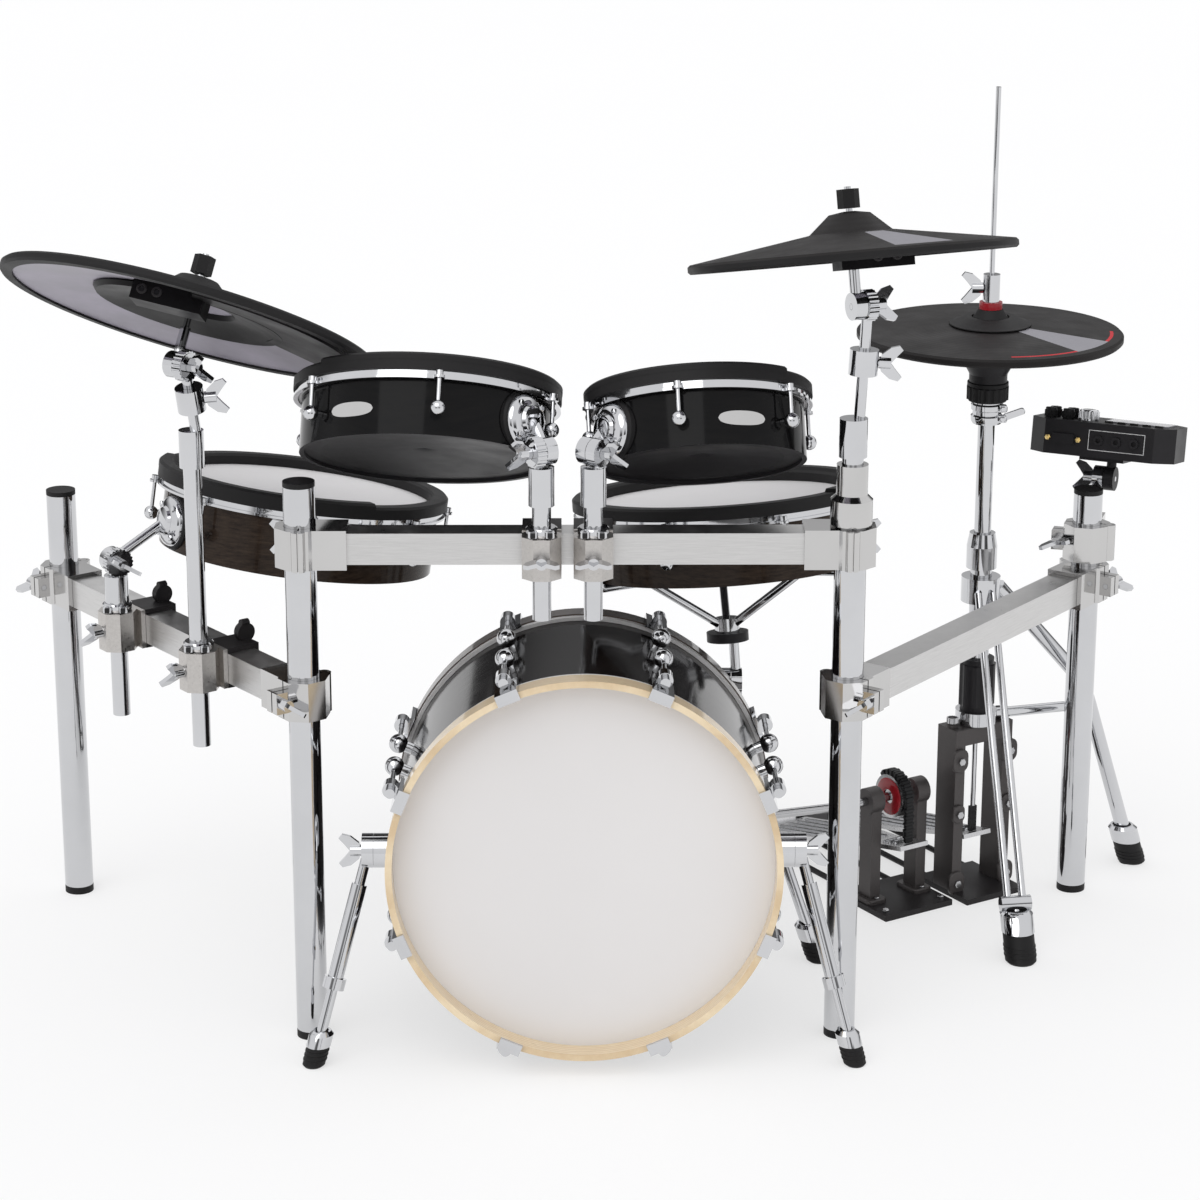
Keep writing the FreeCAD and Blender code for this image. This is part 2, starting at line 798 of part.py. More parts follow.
def lug(radius, depth, rod_radius, angle):
    """A ball lug on a stem, with its tension rod and rod head."""
    place = turned_by(Z_AXIS, angle)
    lug_rise = depth * LUG_RISE
    rod_top = depth - size.hoop_drop + size.hoop_flange + GAP
    ball = sphere(size.lug_ball, place * at(float(rod_radius), 0, float(lug_rise)))
    stem_place = place * at(float(radius + GAP), 0, float(lug_rise)) * turned_by(Y_AXIS, 90)
    stem = cylinder(size.lug_stem, rod_radius - radius - GAP, stem_place)
    shaft_place = place * at(float(rod_radius), 0, float(lug_rise))
    shaft = cylinder(size.tension_rod, rod_top - lug_rise, shaft_place)
    head_place = place * at(float(rod_radius), 0, float(rod_top))
    head = cylinder(size.rod_head, size.rod_head * ROD_HEAD_SHARE, head_place)
    return fuse(ball, stem, shaft, head)


def drum(name, frame, lug_angles, mount=()):
    """A drum pad: shell with base and trigger, head, hoop with lugs and rods, and rubber rim."""
    depth = getattr(size, f"{name}_depth")
    radius = shell_radius_of(name)
    flesh = radius + GAP + size.flesh_width
    wall_in = flesh + GAP
    wall_out = wall_in + size.hoop_wall
    rod_radius = wall_out + size.ear_diameter / 2
    head_low = depth + GAP
    head_top = head_low + size.head_thickness
    hoop_low = depth - size.hoop_drop
    hoop_top = depth + size.hoop_rise
    flange_top = hoop_low + size.hoop_flange
    bevel = size.hoop_flange
    rim_in = radius + size.rim_overhang - size.rim_reach
    rim_out = radius + size.rim_overhang
    rim_top = depth + size.rim_height

    base_edge = radius - size.shell_wall - GAP
    low = size.base_thickness
    crown = low + size.base_dish
    flat = base_edge - size.trigger_cone / 2
    base = lathe([(NONE, crown), (flat, low), (base_edge, low), (base_edge, low * 2), (flat, low * 2),
                  (NONE, crown + low)])
    cone_low = crown + low + GAP
    cone = lathe([(NONE, cone_low), (size.trigger_cone / 2, cone_low), (size.trigger_tip / 2, depth),
                  (NONE, depth)])
    shell = ring(radius * 2, (radius - size.shell_wall) * 2, depth)
    node(f"{name}_shell", [shell, base, cone], frame)

    head = lathe([(NONE, head_low), (radius + GAP, head_low), (radius + GAP, depth - size.flesh_height),
                  (flesh, depth - size.flesh_height), (flesh, head_top), (NONE, head_top)])
    node(f"{name}_head", [head], frame)

    band = lathe([(wall_in, hoop_low), (wall_out + bevel, hoop_low), (wall_out + bevel, flange_top),
                  (wall_out, flange_top), (wall_out, hoop_top), (wall_in, hoop_top)])
    ears, holes = [], []
    for angle in lug_angles:
        ear_place = turned_by(Z_AXIS, angle) * at(float(rod_radius), 0, float(hoop_low))
        ears.append(cylinder(size.ear_diameter, size.hoop_flange, ear_place))
        holes.append(cylinder(size.tension_rod + GAP * 2, size.hoop_flange, ear_place))
    hoop = cut(fuse(band, *ears), *holes)
    lugs = [lug(radius, depth, rod_radius, angle) for angle in lug_angles]
    node(f"{name}_hardware", [hoop, *lugs, *mount], frame)

    rim = lathe([(rim_in, head_top + GAP), (wall_in - GAP, head_top + GAP), (wall_in - GAP, hoop_top + GAP),
                 (wall_out + GAP, hoop_top + GAP), (wall_out + GAP, head_low), (rim_out, head_low),
                 (rim_out, rim_top - bevel), (rim_out - bevel, rim_top), (rim_in + bevel, rim_top),
                 (rim_in, rim_top - bevel)])
    node(f"{name}_rim", [rim], frame)


# Share of a shell's depth that its mount bracket covers
MOUNT_SHARE = 0.55


def mount_height(name):
    return getattr(size, f"{name}_depth") * MOUNT_SHARE


def mount_place(name, frame, pivot):
    """The place of a shell's mount bracket in the drum's own frame, on the side of its tilter."""
    local_pivot = frame.inverse().multVec(pivot)
    angle = math.degrees(math.atan2(local_pivot.y, local_pivot.x))
    rise = float(getattr(size, f"{name}_depth") - size.hoop_drop - mount_height(name)) / 2
    return turned_by(Z_AXIS, angle) * at(float(shell_radius_of(name) + size.mount_block / 2), 0, rise)


def mount_middle(name, frame, pivot):
    return (mount_place(name, frame, pivot) * at(0, 0, float(mount_height(name)) / 2)).Base


def drum_mount(name, frame, pivot, axis):
    """The bracket on a shell with its half of the tilter, in the drum's own frame."""
    inverse = frame.inverse()
    place = mount_place(name, frame, pivot)
    bracket = block(size.mount_block, size.mount_width, mount_height(name), place)
    seat = cylinder(shell_radius_of(name) * 2 + GAP * 2, getattr(size, f"{name}_depth"))
    disc, neck, bore = knuckle(inverse.multVec(pivot), inverse.Rotation.multVec(axis),
                               mount_middle(name, frame, pivot))
    return cut(fuse(bracket, neck, disc), seat, bore)


def tube_arm(foot, low, pivot, axis, cap_top=None, thick=size.arm_tube):
    """An upright tube with an end plug below, and a tilter casting with its wing bolt on top."""
    bore = thick - size.post_wall * 2
    root_drop = 0.0
    if cap_top is None:
        cap_top = pivot.z - float(size.knuckle_diameter) / 2 - float(size.post_wall)
        root_drop = float(size.sleeve_wall) / 2
    root = Vector(foot.x, foot.y, cap_top - root_drop)
    tube_top = cap_top - float(size.sleeve_wall) - float(GAP)
    tube_low = float(low + size.cap_height)
    tube_place = at(foot.x, foot.y, tube_low)
    tube = ring(thick, bore, tube_top - tube_low, tube_place)
    stopper = plug(thick, bore, size.cap_height, at(foot.x, foot.y, float(low)))
    sleeve_place = at(foot.x, foot.y, cap_top - float(size.sleeve_length))
    sleeve = cylinder(thick + size.sleeve_wall * 2, size.sleeve_length, sleeve_place)
    socket = cylinder(thick + GAP * 2, size.sleeve_length - size.sleeve_wall, sleeve_place)
    disc, neck, bolt_bore = knuckle(pivot, axis * -1, root)
    casting = cut(fuse(sleeve, neck, disc), socket, bolt_bore)
    return [tube, stopper, casting, tilter_bolt(pivot, axis)]


TILTS, SWIVELS = {}, {}
# Lug count of each tom, and the side of its tilter that carries the drum
TOMS = {"left_tom": (6, -1), "right_tom": (6, 1), "floor_tom": (8, 1)}
for name, (lug_count, side) in TOMS.items():
    frame = drum_frame(name)
    foot = ARM_FEET[name]
    pivot = foot + Z_AXIS * float(getattr(size, f"{name}_knuckle"))
    toward = frame.multVec(mount_middle(name, frame, pivot)) - pivot
    axis = Z_AXIS.cross(toward).normalize() * side
    TILTS[name] = (pivot, axis)
    SWIVELS[name] = (pivot, Z_AXIS)
    node(f"{name}_arm", tube_arm(foot, getattr(size, f"{name}_tube_low"), pivot, axis))
    lug_start = float(getattr(size, f"{name}_first_lug"))
    drum(name, frame, around(lug_count, lug_start), [drum_mount(name, frame, pivot, axis)])

# Share of a foot's length that its leg stands clear of the floor
FOOT_SHARE = 0.4
FLOOR_PASSES = 6


def footed_leg(top, floor_x, floor_y, leg, foot, foot_length):
    """A straight leg from top to the floor, and the rubber foot over its end."""
    tip = Vector(floor_x, floor_y, 0)
    for _ in range(FLOOR_PASSES):
        way = (top - tip).normalize()
        tip.z = float(foot) / 2 * math.sqrt(1 - way.z * way.z)
    leg_end = tip + way * (float(foot_length) * FOOT_SHARE)
    shoe = rod(tip, tip + way * float(foot_length), foot)
    hole = rod(leg_end - way * float(GAP), tip + way * (2 * float(foot_length)), leg + GAP * 2)
    return leg_end, cut(shoe, hole)


# Snare drum on its basket stand
SNARE_LUGS = 8
BASKET_ARMS = 3
BASKET_TURN = 90.0
# Share of a basket arm's reach where it bends level under the shell
ARM_ELBOW = 0.62
STAND_LEGS = 3
snare_frame = drum_frame("snare")
drum("snare", snare_frame, around(SNARE_LUGS, 180.0 / SNARE_LUGS))
snare_pivot = snare_frame.multVec(Vector(0, 0, -float(size.snare_tilter_drop)))
TILTS["snare"] = (snare_pivot, X_AXIS)


def basket():
    """Three arms on a hub, with the upper half of the tilter below it and the basket nut round it."""
    drop = float(size.basket_drop)
    thick = float(size.basket_arm)
    grip = float(shell_radius_of("snare")) + thick / 2 + float(GAP)
    under = -thick / 2 - float(GAP)
    hub_place = at(0, 0, -drop)
    hub = cylinder(size.basket_hub, size.basket_hub_height, hub_place)
    hub_middle = -drop + float(size.basket_hub_height) / 2
    corners = [Vector(0, 0, hub_middle), Vector(grip * ARM_ELBOW, 0, under), Vector(grip, 0, under),
               Vector(grip, 0, float(size.basket_grip))]
    arms = []
    for angle in around(BASKET_ARMS, BASKET_TURN):
        spin = Rotation(Z_AXIS, angle)
        path = [spin.multVec(corner) for corner in corners]
        arms.append(bent_rod(path, float(size.basket_bend), size.basket_arm))
    inverse = snare_frame.inverse()
    disc, neck, bore = knuckle(inverse.multVec(snare_pivot), inverse.Rotation.multVec(X_AXIS),
                               Vector(0, 0, hub_middle))
    nut = ring(size.basket_nut, size.basket_hub + GAP * 2, size.basket_nut_height, hub_place)
    return [cut(fuse(hub, disc, neck, *arms), bore), nut]


basket_body, basket_nut = basket()
node("snare_basket", [basket_body, basket_nut], snare_frame)

stand_foot_point = Vector(snare_pivot.x, snare_pivot.y, 0)
stand = tube_arm(stand_foot_point, size.stand_tube_low, snare_pivot, X_AXIS)
hub_low = at(stand_foot_point.x, stand_foot_point.y, float(size.stand_hub_height))
tripod = [ring(size.stand_hub, size.arm_tube + GAP * 2, size.stand_hub_tall, hub_low)]
hub_middle = stand_foot_point + Z_AXIS * float(size.stand_hub_height + size.stand_hub_tall / 2)
for angle in around(STAND_LEGS, float(size.stand_leg_turn)):
    way = Rotation(Z_AXIS, angle).multVec(X_AXIS)
    leg_top = hub_middle + way * (float(size.stand_hub) / 2)
    floor = stand_foot_point + way * float(size.stand_leg_spread)
    leg_end, shoe = footed_leg(leg_top, floor.x, floor.y, size.stand_leg, size.stand_foot,
                               size.stand_foot_length)
    hub_space = cylinder(size.stand_hub, size.stand_hub_tall, hub_low)
    tripod.append(cut(rod(leg_top, leg_end, size.stand_leg), hub_space))
    feet.append(shoe)
node("snare_stand", [*stand, *tripod])

# Bass drum, its axis along local Z and its front head at local +Z
bass_radius = size.bass_diameter / 2
bass_half = size.bass_depth / 2
bass_head_low = bass_half + GAP
bass_head_top = bass_head_low + size.head_thickness
bass_hoop_low = bass_head_top + GAP
bass_hoop_top = bass_hoop_low + size.bass_hoop_width
bass_hoop_in = bass_radius - size.bass_hoop_lap
bass_hoop_out = bass_hoop_in + size.bass_hoop_thickness
tilt = math.radians(float(size.bass_tilt))
bass_centre_z = (float(size.bass_lift) + float(bass_hoop_out) * math.cos(tilt)
                 + float(bass_hoop_top) * math.sin(tilt))
bass_frame = Placement(Vector(size.bass_x, size.bass_y, bass_centre_z),
                       Rotation(X_AXIS, 90 - float(size.bass_tilt)))
bass_rear = turned_by(Y_AXIS, 180)

bass_tube = ring(size.bass_diameter, size.bass_diameter - size.bass_wall * 2, size.bass_depth,
                 at(0, 0, -float(bass_half)))
bar_length = size.bass_diameter - size.bass_wall * 2 - GAP * 2
bar_place = at(0, 0, -float(bass_half - size.trigger_cone))
trigger_bar = cut(block(bar_length, size.trigger_cone, size.base_thickness, bar_place),
                  ring(size.bass_diameter * 2, bar_length, size.bass_depth, at(0, 0, -float(bass_half))))
trigger_pad = cylinder(size.trigger_cone * 2, size.trigger_cone - GAP, at(0, 0, -float(bass_half)))
node("bass_shell", [bass_tube, trigger_bar, trigger_pad], bass_frame)

bass_flesh = bass_radius + GAP + size.flesh_width
bass_head_skirt = bass_half - size.flesh_height
bass_skin = bass_radius + GAP
head_profile = [(NONE, bass_head_low), (bass_skin, bass_head_low), (bass_skin, bass_head_skirt),
                (bass_flesh, bass_head_skirt), (bass_flesh, bass_head_top), (NONE, bass_head_top)]
for head_name, hoop_name, facing in (("bass_front_head", "bass_front_hoop", HERE),
                                     ("bass_batter_head", "bass_rear_hoop", bass_rear)):
    hoop_place = facing * at(0, 0, float(bass_hoop_low))
    node(head_name, [lathe(head_profile, facing)], bass_frame)
    node(hoop_name, [ring(bass_hoop_out * 2, bass_hoop_in * 2, size.bass_hoop_width, hoop_place)], bass_frame)

claw_in = bass_hoop_out + GAP
claw_out = claw_in + size.claw_thickness
claw_low = bass_half - size.claw_tail
claw_lip = bass_hoop_top + GAP
claw_top = claw_lip + size.claw_thickness
claw_nose = claw_in - size.claw_hook
claw_outline = [(claw_in, claw_low), (claw_out, claw_low), (claw_out, claw_top), (claw_nose, claw_top),
                (claw_nose, claw_lip), (claw_in, claw_lip)]
bass_rod_radius = claw_out + size.bass_rod_stand


def claw_set(facing, angle):
    """One claw hooked over a bass hoop, and its tension rod with its lug on the shell."""
    place = facing * turned_by(Z_AXIS, angle)
    flat = place * at(0, float(size.claw_width) / 2) * turned_by(X_AXIS, 90)
    boss_place = place * at(float(bass_rod_radius), 0, float(claw_low))
    boss = cylinder(size.bass_rod_stand * 2 + size.claw_thickness, size.claw_boss, boss_place)
    hole = cylinder(size.bass_rod + GAP * 2, size.claw_boss, boss_place)
    claw = cut(fuse(plate(claw_outline, size.claw_width, flat), boss), hole)
    lug_place = place * at(float(bass_rod_radius), 0, float(size.bass_lug_place))
    rod_length = claw_low + size.claw_boss + GAP - size.bass_lug_place
    shaft = cylinder(size.bass_rod, rod_length, lug_place)
    head = cylinder(size.bass_rod_head, size.bass_rod_head, lug_place * at(0, 0, float(rod_length)))
    stem_place = place * at(float(bass_radius + GAP), 0, float(size.bass_lug_place)) * turned_by(Y_AXIS, 90)
    stem = cylinder(size.bass_lug_stem, bass_rod_radius - bass_radius - GAP, stem_place)
    return [claw, fuse(sphere(size.bass_lug, lug_place), stem, shaft, head)]


BASS_CLAWS = 8
bass_hardware = []
for facing in (HERE, bass_rear):
    for angle in around(BASS_CLAWS, 180.0 / BASS_CLAWS):
        bass_hardware += claw_set(facing, angle)

SPURS = {}
# Share of a spur's disc where its rod starts
SPUR_ROOT = 0.25
bracket_reach = bass_radius + size.spur_bracket
for side, name in ((-1, "left_spur"), (1, "right_spur")):
    outward = X_AXIS * side
    seat = Vector(side * float(bass_radius - size.claw_thickness), 0, float(size.spur_place))
    hole_start = Vector(side * float(bass_radius + size.claw_thickness), 0, float(size.spur_place))
    bracket_end = Vector(side * float(bracket_reach), 0, float(size.spur_place))
    bracket_bore = rod(hole_start, bracket_end + outward * float(GAP), size.wing_shank + GAP * 2)
    shell_space = cylinder(size.bass_diameter + GAP * 2, size.bass_depth, at(0, 0, -float(bass_half)))
    bass_hardware.append(cut(rod(seat, bracket_end, size.spur_disc), bracket_bore, shell_space))
    near = bass_frame.multVec(bracket_end) + outward * float(GAP)
    pivot = near + outward * (float(size.spur_disc_width) / 2)
    far = near + outward * float(size.spur_disc_width)
    bolt_tip = bass_frame.multVec(hole_start) + outward * float(GAP)
    wings.append(wing_screw(bolt_tip, outward, GAP + (far - bolt_tip).Length))
    SPURS[name] = (pivot, X_AXIS)
    floor_x, floor_y = pivot.x + side * float(size.spur_reach), pivot.y - float(size.spur_forward)
    leg_end, shoe = footed_leg(pivot, floor_x, floor_y, size.spur_rod, size.spur_tip, size.spur_tip_length)
    way = (leg_end - pivot).normalize()
    tube_start = pivot + way * float(size.spur_disc)
    tube_end = tube_start + way * float(size.spur_tube_length)
    collar_start = tube_end - way * float(size.spur_disc_width)
    upper = fuse(cylinder(size.spur_disc, size.spur_disc_width, aimed(near, outward)),
                 rod(pivot + way * (float(size.spur_disc) * SPUR_ROOT), tube_end, size.spur_rod),
                 rod(tube_start, tube_end, size.spur_tube), rod(collar_start, tube_end, size.spur_collar))
    bolt_bore = rod(bolt_tip, far + outward * float(size.spur_disc), size.wing_shank + GAP * 2)
    node(name, [cut(upper, bolt_bore), rod(tube_end, leg_end, size.spur_rod), shoe])
node("bass_hardware", bass_hardware, bass_frame)


# Ride and crash cymbal pads
ROCKS = {}
# Shares of a pad's radius where its jack box hangs, of a boom where its collar sits, and of a stem where
# its tilter half starts
JACK_BOX_SHARE = 0.5
COLLAR_SHARE = 0.5
NECK_SHARE = 0.5


def cymbal_pad(name, frame, box_angle):
    """A cymbal pad seated on a felt ball at the origin of its frame, with a jack box under it."""
    radius = getattr(size, f"{name}_diameter") / 2
    hole = size.cymbal_rod / 2 + size.cymbal_play
    top = size.felt_ball / 2 + size.pad_crown
    bell_low = top - size.bell_height
    edge_top = bell_low - size.pad_bow
    edge_low = edge_top - size.pad_edge
    bevel = size.pad_bevel
    disc = lathe([(hole, top), (size.bell_top / 2, top - bevel), (size.bell_diameter / 2, bell_low),
                  (radius - bevel, edge_top), (radius, edge_top - bevel), (radius, edge_low + bevel),
                  (radius - bevel, edge_low), (radius - size.pad_lip, edge_low),
                  (radius - size.pad_lip, edge_low + bevel),
                  (size.bell_diameter / 2, bell_low - size.pad_skin), (size.felt_ball, NONE), (hole, NONE)])
    pad = cut(disc, sphere(size.felt_ball + GAP * 2))
    box_place = turned_by(Z_AXIS, box_angle) * at(float(radius) * JACK_BOX_SHARE, 0, float(edge_low))
    box_low = at(0, 0, -float(size.jack_box_drop))
    box = block(size.jack_box_depth, size.jack_box_width, size.jack_box_height, box_place * box_low)
    node(f"{name}_pad", [pad, cut(box, disc)], frame)
    return top


def cymbal(name, foot, tube, tube_low, tube_top, box_angle):
    """A cymbal on its tube: boom with lower tilter half, cymbal rod with upper half, and the pad."""
    centre = Vector(*(getattr(size, f"{name}_{way}") for way in ("x", "y", "height")))
    roll = Rotation(Y_AXIS, float(getattr(size, f"{name}_roll")))
    spin = roll.multiply(Rotation(X_AXIS, -float(getattr(size, f"{name}_lean"))))
    frame = Placement(centre, spin)
    normal = spin.multVec(Z_AXIS)
    axis = Z_AXIS.cross(Vector(normal.x, normal.y, 0).normalize())
    pivot = centre - normal * float(size.cymbal_stem) - axis * half_offset()
    TILTS[name] = (pivot, axis)
    SWIVELS[name] = (foot + Z_AXIS * float(tube_top), Z_AXIS)
    ROCKS[name] = (centre, normal.cross(axis))
    boom = tube_arm(foot, tube_low, pivot, axis, float(tube_top), tube)
    boom_start = Vector(foot.x, foot.y, float(tube_top)) - axis * half_offset()
    boom_end = pivot - axis * half_offset()
    boom_way = (boom_end - boom_start).normalize()
    collar_middle = boom_start + (boom_end - boom_start) * COLLAR_SHARE
    collar_start = collar_middle - boom_way * float(size.coupler_length / 2)
    collar_place = aimed(collar_start, boom_way)
    side = collar_place.Rotation.multVec(X_AXIS)
    neck_wall = size.knuckle_neck / 2
    set_tip = (collar_place * at(float(neck_wall + GAP * 2), 0, float(size.coupler_length) / 2)).Base
    collar = cut(ring(size.coupler, size.knuckle_neck + GAP * 2, size.coupler_length, collar_place),
                 rod(set_tip - side * float(neck_wall), set_tip + side * float(size.coupler),
                     size.wing_shank + GAP * 2))
    set_reach = (size.coupler - size.knuckle_neck) / 2 - GAP
    node(f"{name}_boom", [*boom, collar, wing_screw(set_tip, side, set_reach)])

    top = cymbal_pad(name, frame, box_angle)
    inverse = frame.inverse()
    local_axis = inverse.Rotation.multVec(axis)
    neck_start = Vector(0, 0, -float(size.cymbal_stem) * NECK_SHARE) - local_axis * half_offset()
    disc, neck, bore = knuckle(inverse.multVec(pivot), local_axis, neck_start)
    nut_low = top + size.nut_lift
    stem_height = size.cymbal_stem + nut_low + size.nut_height + size.cymbal_play
    stem = cylinder(size.cymbal_rod, stem_height, at(0, 0, -float(size.cymbal_stem)))
    stop_low = -size.felt_ball
    stop = cylinder(size.cymbal_rod * 2, size.felt_ball / 2 - GAP, at(0, 0, float(stop_low)))
    felt = cut(sphere(size.felt_ball), cylinder(size.cymbal_rod + GAP * 2, size.felt_ball * 2,
                                                at(0, 0, -float(size.felt_ball))))
    nut = cut(solid("Prism", at(0, 0, float(nut_low)), Polygon=6, Circumradius=size.nut_across / 2,
                    Height=size.nut_height),
              cylinder(size.cymbal_rod + GAP * 2, size.nut_height, at(0, 0, float(nut_low))))
    node(f"{name}_rod", [cut(fuse(disc, neck, stem, stop), bore), felt, nut], frame)


cymbal("ride", ARM_FEET["ride"], size.arm_tube, size.ride_tube_low, size.ride_tube_top,
       size.ride_box_turn)
cymbal("crash", front_right, size.crash_tube, size.crash_tube_low, size.crash_tube_top, size.crash_box_turn)

# Pedals. Their own Y axis runs from toe to heel and their Z = 0 is the floor.
hihat_frame = Placement(Vector(size.hihat_x, size.hihat_y, 0), Rotation(Z_AXIS, float(size.pedal_yaw)))
slave_frame = Placement(Vector(size.slave_x, size.slave_y, 0), Rotation(Z_AXIS, float(size.pedal_yaw)))
main_frame = Placement(Vector(size.main_x, size.main_y, 0), Rotation())
ALONG_X = turned_by(Y_AXIS, 90)
FOOTBOARDS, AXLES = {}, {}


def crosswise(diameter, start, end, y, z):
    """A round piece along local X between two places."""
    return cylinder(diameter, end - start, at(float(start), float(y), float(z)) * ALONG_X)


def heel_plate(heel_y):
    """The heel plate with two ears and the hinge rod that the footboard turns on."""
    ear = size.hinge_ear
    half_barrel = size.hinge_barrel_length / 2
    rise = size.heel_height + size.hinge_tube / 2 - size.pedal_base_height
    flat = block(size.footboard_width, size.heel_depth, size.pedal_base_height,
                 at(0, float(heel_y + size.heel_depth / 2 - size.hinge_ear)))
    outer = half_barrel + GAP + ear
    pieces = [flat, crosswise(size.hinge_rod, -outer, outer, heel_y, size.heel_height)]
    for side in (-1, 1):
        ear_x = side * float(half_barrel + GAP + ear / 2)
        pieces.append(block(ear, ear * 2, rise, at(ear_x, float(heel_y), float(size.pedal_base_height))))
    return fuse(*pieces)


def tie_rods(start, heel_y):
    """Two rods on the floor that hold the heel plate to its base."""
    end = heel_y - size.hinge_ear
    height = float(size.tie_rod) / 2
    reach = float(size.footboard_width) / 2 - float(size.tie_rod)
    return [rod(Vector(x, float(start), height), Vector(x, float(end), height), size.tie_rod)
            for x in (-reach, reach)]


# Shares of a footboard's length where it starts and ends its taper towards the toe
TAPER_START, TAPER_END = 0.55, 0.8


def footboard(name, frame, heel_y, toe_y, toe_z, chain_y, chain_top):
    """A footboard hinged at the heel, with the straight stretch of chain that stands on its toe."""
    run = float(heel_y - toe_y)
    slope = math.atan2(float(toe_z - size.heel_height), run)
    length = (heel_y - toe_y) / math.cos(slope)
    wide, narrow, tongue = size.footboard_width / 2, size.footboard_toe / 2, size.hinge_barrel_length / 2
    step = -size.hinge_tongue
    right = [(tongue, NONE), (tongue, step), (wide, step), (wide, -length * TAPER_START),
             (narrow, -length * TAPER_END), (narrow, -length)]
    outline = right + [(-x, y) for x, y in reversed(right)]
    hinge = at(0, float(heel_y), float(size.heel_height))
    sloped = hinge * turned_by(X_AXIS, -math.degrees(slope)) * at(0, 0, -float(size.footboard_thickness) / 2)
    barrel = crosswise(size.hinge_tube, -tongue, tongue, heel_y, size.heel_height)
    pin_bore = crosswise(size.hinge_rod + GAP * 2, -tongue, tongue, heel_y, size.heel_height)
    board = cut(fuse(plate(outline, size.footboard_thickness, sloped), barrel), pin_bore)
    toe_top = (float(size.heel_height) + float(heel_y - chain_y) * math.tan(slope)
               + float(size.footboard_thickness) / 2 / math.cos(slope)
               + float(size.chain_thickness) / 2 * math.tan(slope) + float(GAP))
    count = int((float(chain_top) - toe_top) / float(size.chain_pitch))
    pitch = (float(chain_top) - toe_top) / count
    links = [solid("Box", at(-float(size.chain_width) / 2, float(chain_y - size.chain_thickness / 2),
                             toe_top + index * pitch),
                   Length=size.chain_width, Width=size.chain_thickness, Height=pitch - float(GAP))
             for index in range(count)]
    node(f"{name}_footboard", [board, *links], frame)
    FOOTBOARDS[name] = (frame.multVec(hinge.Base), frame.Rotation.multVec(X_AXIS))


def bearing_post(x):
    """An upright of a pedal frame with the round housing of its bearing."""
    upright = block(size.pedal_post_width, size.pedal_post_depth, size.axle_height - size.pedal_base_height,
                    at(x, float(size.axle_setback), float(size.pedal_base_height)))
    half = float(size.bearing_width) / 2
    place = at(x - half, float(size.axle_setback), float(size.axle_height)) * ALONG_X
    housing = cylinder(size.bearing_diameter, size.bearing_width, place)
    return cut(fuse(upright, housing), cylinder(size.axle_diameter + GAP * 2, size.bearing_width, place))


def axle(start, end):
    return crosswise(size.axle_diameter, start, end, size.axle_setback, size.axle_height)


# Degrees of a cam that its chain covers, counted from the front
CHAIN_TURN = 135.0


def chain_wrap():
    """The chain's stretch that lies over the cam, from its front round to the back of its top."""
    start = at(-float(size.chain_width) / 2, float(size.axle_setback), float(size.axle_height)) * ALONG_X
    place = start * turned_by(Z_AXIS, CHAIN_TURN)
    inner = size.cam_diameter / 2 + GAP
    outer = solid("Cylinder", place, Radius=inner + size.chain_thickness, Height=size.chain_width,
                  Angle=CHAIN_TURN)
    return cut(outer, solid("Cylinder", place, Radius=inner, Height=size.chain_width))


def cam():
    half = size.cam_width / 2
    return crosswise(size.cam_diameter, -half, half, size.axle_setback, size.axle_height)


def beater(x):
    """A hub and shaft on the axle, and the felt head on the shaft."""
    lean = math.radians(float(size.beater_lean))
    hub_half = size.beater_hub_width / 2
    hub = crosswise(size.beater_hub, x - hub_half, x + hub_half, size.axle_setback, size.axle_height)
    centre = Vector(x, size.axle_setback, size.axle_height)
    up = Vector(0, math.sin(lean), math.cos(lean))
    forward = Vector(0, -math.cos(lean), math.sin(lean))
    middle = centre + up * float(size.beater_length)
    shaft = rod(centre, middle + up * float(size.beater_head), size.beater_shaft)
    half = float(size.beater_head_length) / 2
    felt = rod(middle - forward * half, middle + forward * half, size.beater_head)
    hole = rod(centre, middle + up * float(size.beater_head), size.beater_shaft + GAP * 2)
    return hub, shaft, cut(felt, hole)


def joint_ball(x):
    return sphere(size.joint_ball, at(float(x), float(size.axle_setback), float(size.axle_height)))


post_half = size.pedal_post_spacing / 2
axle_end = post_half + size.bearing_width / 2 + size.axle_overhang
chain_front = size.axle_setback - size.cam_diameter / 2 - GAP - size.chain_thickness / 2
for name, frame in (("slave", slave_frame), ("main", main_frame)):
    footboard(name, frame, size.heel_setback, size.toe_setback, size.toe_height, chain_front,
              size.axle_height - GAP)
    axle_middle = frame.multVec(Vector(0, size.axle_setback, size.axle_height))
    AXLES[name] = (axle_middle, frame.Rotation.multVec(X_AXIS))

base_rear = size.pedal_base_depth
slave_base = block(size.pedal_base_width, size.pedal_base_depth, size.pedal_base_height,
                   at(0, float(size.pedal_base_depth) / 2))
slave_posts = [bearing_post(-float(post_half)), bearing_post(float(post_half))]
heel_pieces = [heel_plate(size.heel_setback), *tie_rods(base_rear, size.heel_setback)]
node("slave_pedal_frame", [slave_base, *slave_posts, *heel_pieces], slave_frame)
slave_ball = -axle_end - size.joint_stand
slave_turner = fuse(axle(slave_ball, axle_end), cam(), joint_ball(slave_ball))
node("slave_axle", [slave_turner, chain_wrap()], slave_frame)

